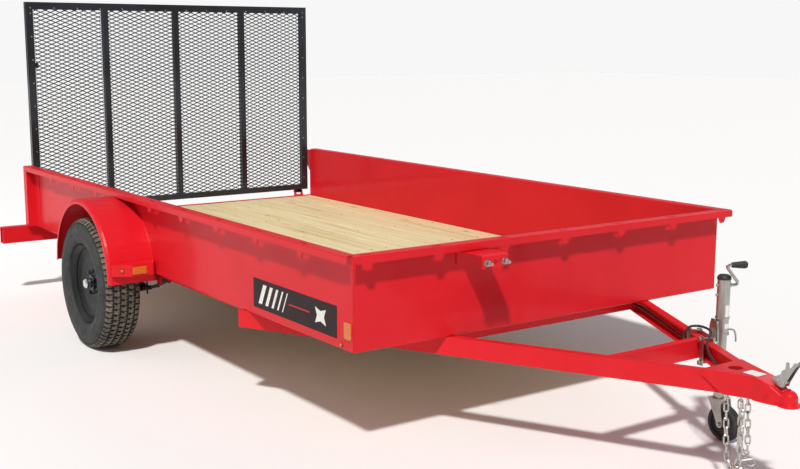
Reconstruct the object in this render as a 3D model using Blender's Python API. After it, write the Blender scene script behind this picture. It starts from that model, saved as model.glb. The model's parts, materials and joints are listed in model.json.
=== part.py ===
"""Utility trailer: steel sides, plank deck, ramp gate, single axle, swivel jack.

Metres, +X forward, +Z up.
"""

import math

import bmesh
import bpy
from mathutils import Matrix, Vector

# ---- sizes -------------------------------------------------------------------
GAP = 0.0003            # clearance between neighbouring pieces
AXLE_X = -0.9243        # axle, along the trailer; everything is set out from it
FRONT = 2.227           # front wall's outer face, ahead of the axle
REAR = 1.535            # rear end of the side walls, behind the axle
HALF_W = 1.03           # side wall's outer face from the middle
WALL_Z = 0.43           # lower edge of the walls
RAIL_Z = 0.815          # top of the folded rail
SHEET = 0.003           # wall sheet thickness
RAIL_OUT = 0.054        # how far the rail folds outward
RAIL_LIP = 0.031        # height of the rail's turned-down lip
FOLD_R = 0.0045         # fold radius on the sheet's centre line
SIDE_FLANGE = 0.135     # inward flange under the deck, side walls
FRONT_FLANGE = 0.060    # inward flange under the deck, front wall
TAB_L = 0.048           # tie tab length along the rail, at its root
TAB_END = 0.026         # and at its lower end
TAB_DROP = 0.024        # how far a tie tab hangs below the lip
SLOT_W = 0.012          # slot across the rail
TAB_PITCH = 0.3675      # tie tab spacing on a side
TAB_FIRST = -1.02       # first side tab, from the axle
TAB_COUNT = 9
TAB_SKIPPED = 3         # no tab where the fender meets the rail
FRONT_TAB_PITCH = 0.333
FRONT_TAB_COUNT = 7
NOTCH = 0.013           # open notch at each rail corner

DECK_T = 0.038          # plank thickness
DECK_EDGE = 0.004       # gap from planks to wall sheet
BOARDS = 11             # planks across the deck
BOARD_GROOVE = 0.004    # groove width and depth between planks

SILL_D = 0.048          # rear sill, along the trailer
BAR_D = 0.060           # rear bar, along the trailer
BAR_H = 0.1025          # rear bar height
BAR_HALF = HALF_W + 0.203   # rear bar half length
BAR_T = 0.004           # rear bar wall
BAR_BACK = REAR + 0.065  # rear bar's rear face, behind the axle
LAMP_L = 0.150          # tail lamp length
LAMP_H = 0.060
LAMP_T = 0.010
POST_L = 0.053          # rear post, along the trailer
POST_BACK = REAR + 0.018 # rear post's rear face, behind the axle
PLATE_BACK = REAR + 0.075    # latch plate's rear edge, behind the axle
PLATE_T = 0.006

RAIL_IN = HALF_W - 0.065    # floor rail's centre from the middle
FLOOR_RAIL_W = 0.050
FLOOR_RAIL_H = 0.025
FLOOR_RAIL_END = 1.335  # floor rail's front end, ahead of the axle
CROSS_D = 0.050         # crossmember depth
CROSS_T = 0.005
CROSS_AT = (-1.20, -0.60, 0.03, 0.60, 1.20)
CROSS_FRONT = (1.78, 2.13)

LEG_ANGLE = math.radians(27.6)
LEG_Y = 0.5795          # leg's outer face where it passes the front wall
LEG_H = 0.0765          # channel depth
LEG_FLANGE = 0.036
LEG_WEB = 0.005
LEG_FLANGE_T = 0.007
LEG_BACK = 1.325        # leg's rear end, ahead of the axle
LEG_FRONT = 3.235       # leg's front end, ahead of the axle
TIE_X = 2.808           # tongue crossbar's centre, ahead of the axle
TIE_W = 0.036
TIE_T = 0.005

BALL_X = 3.418          # coupler socket's centre, ahead of the axle
BALL_Z = 0.378
SOCKET_R = 0.0265       # socket's inside radius
COUPLER_T = 0.0045
COUPLER_REAR = 3.120    # coupler's rear corners, ahead of the axle
COUPLER_BEND = 3.300    # where the sides turn parallel
LIP_R = 0.041            # radius of the lip round the socket

WHEEL_R = 0.343
TYRE_W = 0.205
TRACK = HALF_W + 0.1555 # wheel's middle plane from the trailer's middle
RIM_R = 0.2085
BEAD_R = 0.1925
RIM_W = 0.164
RIM_T = 0.0065
DISC_AT = 0.036         # disc's outer face outboard of the wheel's middle
BORE_R = 0.042
HUB_R = 0.0415
AXLE_R = 0.030
SPINDLE_R = 0.016
SPINDLE_HALF = HALF_W + 0.105
AXLE_HALF = HALF_W + 0.032
HUB_BACK = HALF_W + 0.045
SPRING_HALF = 0.330     # spring eye from the axle
SPRING_W = 0.045
LEAF_T = 0.007
EYE_Z = 0.385
EYE_R = 0.0085
BOLT_R = 0.0075

FENDER_X = -0.034       # fender's centre from the axle
FENDER_Z = 0.400
FENDER_R = 0.395         # along the trailer
FENDER_H = 0.3835        # upward
FENDER_ROLL = 0.014      # radius of the rolled outer edge
FENDER_OUT = HALF_W + 0.240  # fender's outer edge from the middle
FENDER_LIP = 0.026
BOX_Z0 = 0.440
BOX_Z1 = 0.498

BRACKET_Y = -0.477      # front bracket's middle
BRACKET_W = 0.132
BRACKET_OUT = 0.168     # front bracket's reach from the front wall
BRACKET_DROP = 0.052
BRACKET_T = 0.005

GATE_HALF = HALF_W - 0.017
GATE_TOP = 1.8365
GATE_BOTTOM = 0.5165    # underside of the gate's bottom tube
GATE_FRONT = REAR + 0.0245    # gate's front face, behind the axle
GATE_D = 0.036          # gate tube depth
GATE_SIDE = 0.045       # side and top tube width
GATE_BAR = 0.036        # upright width
GATE_FOOT = 0.036       # bottom tube height
MESH_T = 0.003
HINGE_X = REAR + 0.0495 # hinge pin, behind the axle
HINGE_Z = 0.5015
HINGE_Y = HALF_W - 0.085    # hinge's middle from the trailer's middle
PIN_R = 0.006
KNUCKLE_R = 0.0105

JACK_X = 2.812          # jack's foot on the left leg's outer face, ahead of the axle
JACK_OUT = 0.070        # jack's axis from the leg's outer face
JACK_TOP = 0.672
JACK_LOW = 0.436
TUBE_R = 0.0260
TUBE_T = 0.0035
INNER_R = 0.0210
INNER_TOP = 0.495
PIVOT_Z = 0.392
PIVOT_R = 0.026
JACK_WHEEL_R = 0.076
JACK_WHEEL_W = 0.046
TRAIL = 0.035
FORK_T = 0.005
FORK_IN = 0.0285        # fork cheek's inner face from the wheel's middle
FORK_TOP = 0.176
CRANK_Z = 0.640
CRANK_R = 0.0065

CHAIN_R = 0.011
CABLE_R = 0.005

# ---- materials ---------------------------------------------------------------
RED = ("Paint red", (0.60, 0.012, 0.020), 0.28, 0.0)
BLACK = ("Paint black", (0.012, 0.012, 0.014), 0.45, 0.0)
PINE = ("Pine deck", (0.72, 0.56, 0.34), 0.75, 0.0)
ZINC = ("Zinc plate", (0.62, 0.62, 0.60), 0.32, 1.0)
RUBBER = ("Rubber", (0.02, 0.02, 0.02), 0.85, 0.0)
WHEEL_STEEL = ("Wheel black", (0.018, 0.018, 0.018), 0.40, 0.3)
LENS_RED = ("Lens red", (0.45, 0.01, 0.01), 0.20, 0.0)
PVC = ("Cable jacket", (0.015, 0.015, 0.015), 0.55, 0.0)


def paint(kind):
    label, colour, rough, metal = kind
    mat = bpy.data.materials.new(label)
    mat.use_nodes = True
    shader = mat.node_tree.nodes["Principled BSDF"]
    shader.inputs["Base Color"].default_value = (*colour, 1.0)
    shader.inputs["Roughness"].default_value = rough
    shader.inputs["Metallic"].default_value = metal
    return mat


# ---- scene set-up ------------------------------------------------------------
for old in list(bpy.data.objects):
    bpy.data.objects.remove(old, do_unlink=True)
TRAILER = bpy.data.collections.new("utility_trailer")
bpy.context.scene.collection.children.link(TRAILER)
CUTTERS = bpy.data.collections.new("cutters")
CUTTERS.hide_render = True
bpy.context.scene.collection.children.link(CUTTERS)


def ax(x):
    """Position along the trailer, from a distance ahead of the axle."""
    return AXLE_X + x


# ---- shape helpers -----------------------------------------------------------
def to_object(name, bm, kind=None, smooth=False):
    bmesh.ops.recalc_face_normals(bm, faces=bm.faces)
    mesh = bpy.data.meshes.new(name)
    bm.to_mesh(mesh)
    bm.free()
    obj = bpy.data.objects.new(name, mesh)
    if kind is None:
        CUTTERS.objects.link(obj)
        obj.hide_render = True
        obj.display_type = "WIRE"
    else:
        TRAILER.objects.link(obj)
        mesh.materials.append(paint(kind))
    if smooth:
        soften(obj)
    return obj


def soften(obj, angle=35.0):
    """Smooth shading with sharp edges kept where faces turn by more than the angle."""
    bm = bmesh.new()
    bm.from_mesh(obj.data)
    for face in bm.faces:
        face.smooth = True
    for edge in bm.edges:
        if len(edge.link_faces) == 2 and edge.calc_face_angle(0.0) > math.radians(angle):
            edge.smooth = False
    bm.to_mesh(obj.data)
    bm.free()


def loft(name, rings, kind=None, closed=False, smooth=False):
    """One solid through rings of equal point count; closed joins the last ring to the first."""
    bm = bmesh.new()
    rows = [[bm.verts.new(p) for p in ring] for ring in rings]
    count = len(rows[0])
    pairs = list(zip(rows, rows[1:]))
    if closed:
        pairs.append((rows[-1], rows[0]))
    else:
        bm.faces.new(rows[0][::-1])
        bm.faces.new(rows[-1])
    for low, high in pairs:
        for i in range(count):
            j = (i + 1) % count
            bm.faces.new((low[i], low[j], high[j], high[i]))
    return to_object(name, bm, kind, smooth)


def box(name, x, y, z, kind=None):
    """A box between pairs of limits."""
    base = [(x[0], y[0]), (x[1], y[0]), (x[1], y[1]), (x[0], y[1])]
    rings = [[(a, b, h) for a, b in base] for h in z]
    return loft(name, rings, kind)


def prism(name, points, axis, limits, kind=None, smooth=False):
    """A 2D outline extruded along an axis: X takes (y, z), Y takes (x, z), Z takes (x, y)."""
    place = {
        "X": lambda p, t: (t, p[0], p[1]),
        "Y": lambda p, t: (p[0], t, p[1]),
        "Z": lambda p, t: (p[0], p[1], t),
    }[axis]
    return loft(name, [[place(p, t) for p in points] for t in limits], kind, smooth=smooth)


def frame_of(direction):
    """Two unit vectors square to a direction."""
    d = Vector(direction).normalized()
    other = Vector((0, 0, 1)) if abs(d.z) < 0.9 else Vector((1, 0, 0))
    u = d.cross(other).normalized()
    return d, u, d.cross(u).normalized()


def rod(name, start, end, radius, kind=None, sides=24, end_radius=None):
    """A round bar, or a cone, between two points."""
    start, end = Vector(start), Vector(end)
    _, u, v = frame_of(end - start)
    rings = []
    for centre, r in ((start, radius), (end, radius if end_radius is None else end_radius)):
        turn = [2 * math.pi * i / sides for i in range(sides)]
        rings.append([centre + r * (math.cos(a) * u + math.sin(a) * v) for a in turn])
    return loft(name, rings, kind, smooth=True)


def pipe(name, start, end, outer, inner, kind=None, sides=32):
    """A hollow round tube, open at both ends."""
    start, end = Vector(start), Vector(end)
    _, u, v = frame_of(end - start)
    rings = []
    for centre, r in ((start, outer), (end, outer), (end, inner), (start, inner)):
        turn = [2 * math.pi * i / sides for i in range(sides)]
        rings.append([centre + r * (math.cos(a) * u + math.sin(a) * v) for a in turn])
    return loft(name, rings, kind, closed=True, smooth=True)


def spun(name, outline, centre, side, kind=None, steps=64):
    """An (outward, radius) outline turned about the wheel axis through centre; side is +1 or -1 along Y."""
    rings = []
    for i in range(steps):
        a = 2 * math.pi * i / steps
        ring = [
            (centre[0] + r * math.cos(a), centre[1] + side * o, centre[2] + r * math.sin(a))
            for o, r in outline
        ]
        rings.append(ring)
    return loft(name, rings, kind, closed=True, smooth=True)


def turned(name, outline, centre, axis, kind=None, steps=48):
    """An outline of (height, radius) that starts and ends on the axis, turned about it."""
    d, u, v = frame_of(axis)
    centre = Vector(centre)
    bm = bmesh.new()
    first = bm.verts.new(centre + outline[0][0] * d)
    last = bm.verts.new(centre + outline[-1][0] * d)
    rows = []
    for h, r in outline[1:-1]:
        turn = [2 * math.pi * i / steps for i in range(steps)]
        row = [bm.verts.new(centre + h * d + r * (math.cos(a) * u + math.sin(a) * v)) for a in turn]
        rows.append(row)
    for i in range(steps):
        j = (i + 1) % steps
        bm.faces.new((first, rows[0][j], rows[0][i]))
        bm.faces.new((last, rows[-1][i], rows[-1][j]))
        for low, high in zip(rows, rows[1:]):
            bm.faces.new((low[i], low[j], high[j], high[i]))
    return to_object(name, bm, kind, True)


def swept(name, route, radius, kind=None, sides=12):
    """A round bar along a route of points, with flat ends."""
    points = [Vector(p) for p in route]
    rings = []
    up = None
    for i, p in enumerate(points):
        ahead = points[min(i + 1, len(points) - 1)] - p
        behind = p - points[max(i - 1, 0)]
        d = Vector()
        if ahead.length > 0:
            d += ahead.normalized()
        if behind.length > 0:
            d += behind.normalized()
        d.normalize()
        if up is None:
            _, up, _ = frame_of(d)
        up = (up - up.dot(d) * d).normalized()
        side = d.cross(up)
        turn = [2 * math.pi * k / sides for k in range(sides)]
        rings.append([p + radius * (math.cos(a) * up + math.sin(a) * side) for a in turn])
    return loft(name, rings, kind, smooth=True)


def arc(centre, radius, start, end, steps):
    """2D points on an arc, angles in degrees."""
    out = []
    for i in range(steps + 1):
        a = math.radians(start + (end - start) * i / steps)
        out.append((centre[0] + radius * math.cos(a), centre[1] + radius * math.sin(a)))
    return out


def folded(points, thick, radius, steps=3):
    """Closed outline of a sheet of a given thickness that follows a line, with rounded folds."""
    line = [Vector(points[0])]
    for before, here, after in zip(points, points[1:], points[2:]):
        before, here, after = Vector(before), Vector(here), Vector(after)
        a = (before - here).normalized()
        b = (after - here).normalized()
        half = a.angle(b) / 2
        cut = radius / math.tan(half)
        centre = here + (a + b).normalized() * radius / math.sin(half)
        start = here + a * cut - centre
        end = here + b * cut - centre
        turn = start.angle(end)
        sign = 1.0 if start.x * end.y - start.y * end.x > 0 else -1.0
        for k in range(steps + 1):
            t = sign * turn * k / steps
            c, s = math.cos(t), math.sin(t)
            line.append(centre + Vector((start.x * c - start.y * s, start.x * s + start.y * c)))
    line.append(Vector(points[-1]))
    left, right = [], []
    for i, p in enumerate(line):
        ahead = line[min(i + 1, len(line) - 1)] - p
        behind = p - line[max(i - 1, 0)]
        d = Vector((0.0, 0.0))
        for part in (ahead, behind):
            if part.length > 1e-9:
                d += part.normalized()
        d.normalize()
        n = Vector((-d.y, d.x))
        left.append(p + n * thick / 2)
        right.append(p - n * thick / 2)
    return [tuple(p) for p in left] + [tuple(p) for p in right[::-1]]


def cleaned(mesh, triangles):
    """Merges points closer than 5 micrometres and drops what that leaves empty."""
    bm = bmesh.new()
    bm.from_mesh(mesh)
    bmesh.ops.remove_doubles(bm, verts=bm.verts, dist=5e-6)
    bmesh.ops.dissolve_degenerate(bm, edges=bm.edges, dist=5e-6)
    if triangles:
        bmesh.ops.triangulate(bm, faces=bm.faces)
    bm.to_mesh(mesh)
    bm.free()


def combined(target, others, operation):
    """Joins or cuts other solids into the target and keeps the result as its mesh."""
    for solid in (target, *others):
        cleaned(solid.data, True)
    for other in others:
        step = target.modifiers.new(other.name, "BOOLEAN")
        step.operation = operation
        step.solver = "EXACT"
        step.object = other
    bpy.context.view_layer.update()
    graph = bpy.context.evaluated_depsgraph_get()
    mesh = bpy.data.meshes.new_from_object(target.evaluated_get(graph))
    target.modifiers.clear()
    old = target.data
    kept = [slot for slot in old.materials]
    target.data = mesh
    mesh.materials.clear()
    for mat in kept:
        mesh.materials.append(mat)
    for poly in mesh.polygons:
        poly.material_index = 0
    bpy.data.meshes.remove(old)
    cleaned(mesh, True)
    mesh.name = target.name
    for other in others:
        spare = other.data
        bpy.data.objects.remove(other, do_unlink=True)
        bpy.data.meshes.remove(spare)
    soften(target)
    return target


def joined(target, *others):
    return combined(target, others, "UNION")


def cut(target, *others):
    return combined(target, others, "DIFFERENCE")


def set_origin(obj, point):
    """Moves an object's origin onto a point without moving its shape."""
    shift = Vector(point)
    obj.data.transform(Matrix.Translation(-shift))
    obj.location = shift


SIDES = (("right", -1), ("left", 1))
DECK_Z = WALL_Z + SHEET + GAP
DECK_TOP = DECK_Z + DECK_T
UNDER = WALL_Z - GAP    # top of what the body stands on

# ---- body walls --------------------------------------------------------------
half = SHEET / 2
RAIL_FACE = HALF_W + RAIL_OUT
LIP_Z = RAIL_Z - RAIL_LIP


def wall_outline(flange):
    """Sheet outline as (outward from the wall's outer face, height)."""
    line = [
        (-flange, WALL_Z + half),
        (-half, WALL_Z + half),
        (-half, RAIL_Z - half),
        (RAIL_OUT - half, RAIL_Z - half),
        (RAIL_OUT - half, LIP_Z),
    ]
    return folded(line, SHEET, FOLD_R)


def tab_solid(label, at, along_x, side):
    """A tie tab that hangs from the lip, and the cutter of its slot in the rail."""
    low = LIP_Z - TAB_DROP
    high = LIP_Z + 0.010
    shape = [
        (at - TAB_L / 2, high),
        (at - TAB_L / 2, LIP_Z - 0.003),
        (at - TAB_END / 2, low),
        (at + TAB_END / 2, low),
        (at + TAB_L / 2, LIP_Z - 0.003),
        (at + TAB_L / 2, high),
    ]
    mid = (RAIL_OUT - SHEET - 0.010 - SLOT_W, RAIL_OUT - SHEET - 0.010)
    z_slot = (RAIL_Z - SHEET - 0.004, RAIL_Z + 0.004)
    run = (at - TAB_L / 2, at + TAB_L / 2)
    if along_x:
        y_tab = sorted((side * (RAIL_FACE - SHEET * 0.95), side * (RAIL_FACE - SHEET * 0.05)))
        y_slot = sorted((side * (HALF_W + mid[0]), side * (HALF_W + mid[1])))
        return prism(label + "_tab", shape, "Y", y_tab), box(label + "_slot", run, y_slot, z_slot)
    x_face = ax(FRONT) + RAIL_OUT
    x_tab = (x_face - SHEET * 0.95, x_face - SHEET * 0.05)
    x_slot = (ax(FRONT) + mid[0], ax(FRONT) + mid[1])
    return prism(label + "_tab", shape, "X", x_tab), box(label + "_slot", x_slot, run, z_slot)


def corner_notch(label, side):
    """Open notch where two rails meet, outside the walls."""
    x0, y0 = ax(FRONT), HALF_W
    far = RAIL_OUT + 0.02
    a, b = NOTCH + 0.012, NOTCH
    pts = [
        (x0 + a, y0 + a - b),
        (x0 + far, y0 + far - b),
        (x0 + far - b, y0 + far),
        (x0 + a - b, y0 + a),
    ]
    pts = [(x, side * y) for x, y in pts]
    return prism(label, pts, "Z", (LIP_Z - 0.02, RAIL_Z + 0.01))


for word, side in SIDES:
    outline = wall_outline(SIDE_FLANGE)
    rear = [(ax(-REAR), side * (HALF_W + o), z) for o, z in outline]
    front = [(ax(FRONT) + o - GAP, side * (HALF_W + o), z) for o, z in outline]
    wall = loft("side_wall_" + word, [rear, front], RED)
    tabs, slots = [], [corner_notch("notch_" + word, side)]
    for k in range(TAB_COUNT):
        if k == TAB_SKIPPED:
            continue
        tab, slot = tab_solid(f"{word}_{k}", ax(TAB_FIRST + k * TAB_PITCH), True, side)
        tabs.append(tab)
        slots.append(slot)
    joined(wall, *tabs)
    cut(wall, *slots)

outline = wall_outline(FRONT_FLANGE)
ends = []
for side in (-1, 1):
    ends.append([(ax(FRONT) + o, side * (HALF_W + o - GAP), z) for o, z in outline])
front_wall = loft("front_wall", ends, RED)
tabs, slots = [], [corner_notch("notch_a", -1), corner_notch("notch_b", 1)]
for k in range(FRONT_TAB_COUNT):
    at = (k - (FRONT_TAB_COUNT - 1) / 2) * FRONT_TAB_PITCH
    tab, slot = tab_solid(f"front_{k}", at, False, 1)
    tabs.append(tab)
    slots.append(slot)
joined(front_wall, *tabs)
cut(front_wall, *slots)

# ---- deck --------------------------------------------------------------------
deck_half = HALF_W - SHEET - DECK_EDGE
deck_ends = (ax(-REAR) + 0.001, ax(FRONT) - SHEET - DECK_EDGE)
board = 2 * deck_half / BOARDS
outline = [(-deck_half, DECK_Z), (deck_half, DECK_Z)]
for k in range(BOARDS, 0, -1):
    y = -deck_half + k * board
    inset = BOARD_GROOVE / 2 if k < BOARDS else 0.0
    outline.append((y - inset, DECK_TOP))
    y -= board
    inset = BOARD_GROOVE / 2 if k > 1 else 0.0
    outline.append((y + inset, DECK_TOP))
    if k > 1:
        outline.append((y, DECK_TOP - BOARD_GROOVE))
prism("deck", outline, "X", deck_ends, PINE)

# ---- rear end ----------------------------------------------------------------
sill_x = (ax(-REAR) - GAP - SILL_D, ax(-REAR) - GAP)
sill = box("rear_sill", sill_x, (-HALF_W + 0.001, HALF_W - 0.001), (WALL_Z, DECK_TOP), RED)

bar_x = (ax(-BAR_BACK), ax(-BAR_BACK) + BAR_D)
bar_z = (UNDER - BAR_H, UNDER)
bar_in_x = (bar_x[0] + BAR_T, bar_x[1] - BAR_T)
bar_in_z = (bar_z[0] + BAR_T, bar_z[1] - BAR_T)


def rect(a, b):
    return [(a[0], b[0]), (a[1], b[0]), (a[1], b[1]), (a[0], b[1])]


rings = []
for y, pts in (
    (-BAR_HALF, rect(bar_x, bar_z)),
    (BAR_HALF, rect(bar_x, bar_z)),
    (BAR_HALF, rect(bar_in_x, bar_in_z)),
    (-BAR_HALF, rect(bar_in_x, bar_in_z)),
):
    rings.append([(x, y, z) for x, z in pts])
loft("rear_bar", rings, RED, closed=True)

for word, side in SIDES:
    lamp_x = (bar_x[0] - GAP - LAMP_T, bar_x[0] - GAP)
    outer = BAR_HALF - 0.030
    lamp_y = sorted((side * outer, side * (outer - LAMP_L)))
    mid_z = (bar_z[0] + bar_z[1]) / 2
    r = LAMP_H / 2
    left = arc((lamp_y[0] + r, mid_z), r, 90, 270, 12)
    right = arc((lamp_y[1] - r, mid_z), r, -90, 90, 12)
    prism("tail_lamp_" + word, left + right, "X", lamp_x, LENS_RED)

    post_x = (ax(-POST_BACK), ax(-POST_BACK) + POST_L)
    post_y = sorted((side * (HALF_W + GAP), side * (RAIL_FACE - SHEET - GAP)))
    post_z = (WALL_Z, RAIL_Z - SHEET - FOLD_R)
    post = box("rear_post_" + word, post_x, post_y, post_z, RED)
    plate_y = sorted((side * (HALF_W + 0.004), side * (HALF_W + 0.004 + PLATE_T)))
    back, weld = ax(-PLATE_BACK), post_x[0] + 0.010
    pts = [
        (weld, RAIL_Z - 0.010),
        (back + 0.008, RAIL_Z - 0.010),
        (back, RAIL_Z - 0.018),
        (back, RAIL_Z - 0.110),
        (post_x[0], RAIL_Z - 0.172),
        (weld, RAIL_Z - 0.172),
    ]
    plate = prism("plate_" + word, pts, "Y", plate_y)
    strip_x = (post_x[1] - 0.006, post_x[1] + 0.100)
    strip_y = sorted((side * (HALF_W + GAP), side * (HALF_W + GAP + SHEET)))
    strip = box("strip_" + word, strip_x, strip_y, (WALL_Z + 0.002, post_z[1] - 0.012))
    joined(post, plate, strip)

# ---- floor frame -------------------------------------------------------------
rail_z = (UNDER - FLOOR_RAIL_H, UNDER)
for word, side in SIDES:
    y_mid = side * RAIL_IN
    rail_y = (y_mid - FLOOR_RAIL_W / 2, y_mid + FLOOR_RAIL_W / 2)
    rail_x = (ax(-REAR) + 0.010, ax(FLOOR_RAIL_END))
    floor_rail = box("floor_rail_" + word, rail_x, rail_y, rail_z, RED)
    parts = []
    for x_eye in (-SPRING_HALF, SPRING_HALF):
        x = ax(x_eye)
        for cheek in (-1, 1):
            inner = SPRING_W / 2 + 0.002
            y_c = sorted((y_mid + cheek * inner, y_mid + cheek * (inner + 0.005)))
            pts = [
                (x - 0.034, rail_z[0] + 0.002),
                (x - 0.020, EYE_Z - 0.018),
                (x, EYE_Z - 0.024),
                (x + 0.020, EYE_Z - 0.018),
                (x + 0.034, rail_z[0] + 0.002),
            ]
            parts.append(prism(f"cheek_{word}_{x_eye}_{cheek}", pts, "Y", y_c))
        reach = SPRING_W / 2 + 0.014
        bolt_ends = ((x, y_mid - reach, EYE_Z), (x, y_mid + reach, EYE_Z))
        parts.append(rod(f"bolt_{word}_{x_eye}", *bolt_ends, BOLT_R, sides=12))
    joined(floor_rail, *parts)

cross_z = UNDER


def angle_bar(name, x, half_length):
    """Angle iron across the trailer: a flat top flange and a web that hangs from it."""
    pts = [
        (x - CROSS_D / 2, cross_z),
        (x - CROSS_D / 2, cross_z - CROSS_T),
        (x + CROSS_D / 2 - CROSS_T, cross_z - CROSS_T),
        (x + CROSS_D / 2 - CROSS_T, cross_z - CROSS_D),
        (x + CROSS_D / 2, cross_z - CROSS_D),
        (x + CROSS_D / 2, cross_z),
    ]
    return prism(name, pts, "Y", (-half_length, half_length), RED)


for k, x in enumerate(CROSS_AT):
    angle_bar(f"crossmember_{k + 1}", ax(x), RAIL_IN - FLOOR_RAIL_W / 2 - GAP)


def leg_outer(x):
    """Distance of a leg's outer face from the middle, at a distance ahead of the axle."""
    return LEG_Y - math.tan(LEG_ANGLE) * (x - FRONT)


LEG_IN = LEG_FLANGE / math.cos(LEG_ANGLE)
for k, x in enumerate(CROSS_FRONT):
    reach = leg_outer(x + CROSS_D / 2) - LEG_IN - 0.002
    angle_bar(f"crossmember_{len(CROSS_AT) + k + 1}", ax(x), reach)

# ---- tongue ------------------------------------------------------------------
LEG_Z = (UNDER - LEG_H, UNDER)
for word, side in SIDES:
    f, w, t = LEG_FLANGE, LEG_WEB, LEG_FLANGE_T
    outline = [
        (0, LEG_Z[0]),
        (f, LEG_Z[0]),
        (f, LEG_Z[0] + t),
        (w, LEG_Z[0] + t),
        (w, LEG_Z[1] - t),
        (f, LEG_Z[1] - t),
        (f, LEG_Z[1]),
        (0, LEG_Z[1]),
    ]
    rings = []
    for x in (LEG_BACK, LEG_FRONT):
        rings.append(
            [(ax(x), side * (leg_outer(x) - d / math.cos(LEG_ANGLE)), z) for d, z in outline]
        )
    loft("tongue_leg_" + word, rings, RED)

tie_x = (ax(TIE_X) - TIE_W / 2, ax(TIE_X) + TIE_W / 2)
web_in = (LEG_WEB + 0.0015) / math.cos(LEG_ANGLE)
flange_in = LEG_IN + 0.001
tie_rings = []
for side in (-1, 1):
    ring = []
    tz = (LEG_Z[0] + LEG_FLANGE_T + GAP, LEG_Z[1] - LEG_FLANGE_T - GAP)
    pts = [
        (tie_x[1], tz[0]),
        (tie_x[1], tz[1]),
        (tie_x[0], tz[1]),
        (tie_x[0], tz[1] - TIE_T),
        (tie_x[1] - TIE_T, tz[1] - TIE_T),
        (tie_x[1] - TIE_T, tz[0] + TIE_T),
        (tie_x[0], tz[0] + TIE_T),
        (tie_x[0], tz[0]),
    ]
    for x, z in pts:
        ring.append((x, side * (leg_outer(x - AXLE_X) - web_in), z))
    tie_rings.append(ring)
tie = loft("tongue_crossbar", tie_rings, RED)
caps = []
cap_t = LEG_FLANGE_T + 0.001
for tag, z in (("low", (LEG_Z[0], LEG_Z[0] + cap_t)), ("top", (LEG_Z[1] - cap_t, LEG_Z[1]))):
    reach = [leg_outer(x - AXLE_X) - flange_in for x in tie_x]
    pts = [
        (tie_x[0], -reach[0]),
        (tie_x[1], -reach[1]),
        (tie_x[1], reach[1]),
        (tie_x[0], reach[0]),
    ]
    caps.append(prism("cap_" + tag, pts, "Z", z))
joined(tie, *caps)

# ---- coupler -----------------------------------------------------------------
cx0, cx1 = ax(COUPLER_REAR), ax(COUPLER_BEND)
ball = (ax(BALL_X), 0.0)
neck = 0.047
out0 = leg_outer(COUPLER_REAR) + (GAP + COUPLER_T) / math.cos(LEG_ANGLE)
out1 = max(leg_outer(COUPLER_BEND) + (GAP + COUPLER_T) / math.cos(LEG_ANGLE), neck)


top_z = UNDER + 2 * GAP + COUPLER_T
side_low = LEG_Z[0] - 0.001
rear_low = top_z - COUPLER_T - 0.012
stations = [
    (cx0, out0, rear_low, top_z),
    (cx0 + 0.078, out0 + (out1 - out0) * 0.078 / (cx1 - cx0), side_low, top_z),
    (cx1, out1, side_low, top_z),
    (cx1 + 0.030, neck, side_low, top_z - 0.005),
    (ball[0] - 0.052, 0.041, side_low, 0.418),
    (ball[0] - 0.0295, 0.0345, side_low, 0.402),
    (ball[0] - 0.006, 0.0295, side_low + 0.001, 0.388),
]
rings = []
for x, h, low, high in stations:
    t = COUPLER_T
    ring = [(-h, low), (-h, high - 0.004), (-h + 0.004, high)]
    ring += [(h - 0.004, high), (h, high - 0.004), (h, low)]
    ring += [(h - t, low), (h - t, high - t), (-h + t, high - t), (-h + t, low)]
    rings.append([(x, y, z) for y, z in ring])
coupler = loft("coupler", rings, RED)
dome = turned(
    "dome",
    [
        (-0.0245, 0.0),
        (-0.0245, LIP_R),
        (-0.0195, LIP_R),
        (-0.0150, SOCKET_R + COUPLER_T + 0.0010),
        (0.0060, SOCKET_R + COUPLER_T),
        (0.0180, SOCKET_R + COUPLER_T - 0.0050),
        (0.0275, SOCKET_R + COUPLER_T - 0.0152),
        (0.0325, 0.0),
    ],
    (ball[0], 0.0, BALL_Z),
    (0, 0, 1),
)
joined(coupler, dome)
socket = turned(
    "socket",
    [(-0.040, 0.0), (-0.040, SOCKET_R), (0.0, SOCKET_R), (0.015, 0.0218), (0.0265, 0.0)],
    (ball[0], 0.0, BALL_Z),
    (0, 0, 1),
    steps=36,
)
cut(coupler, socket)
cut(coupler, rod("eye", (ax(3.185), 0, 0.40), (ax(3.185), 0, 0.46), 0.026, sides=32))

latch_pts = [
    (ax(3.355), 0.4346),
    (ax(3.360), 0.4252),
    (ax(3.374), 0.4170),
    (ax(3.386), 0.4170),
    (ax(3.455), 0.4985),
    (ax(3.458), 0.5080),
    (ax(3.447), 0.5085),
    (ax(3.437), 0.5025),
    (ax(3.4285), 0.4680),
    (ax(3.407), 0.4640),
    (ax(3.406), 0.4520),
    (ax(3.398), 0.4475),
    (ax(3.372), 0.4475),
    (ax(3.360), 0.4430),
]
latch = prism("coupler_latch", latch_pts, "Y", (-0.0175, 0.0175), ZINC)

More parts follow.
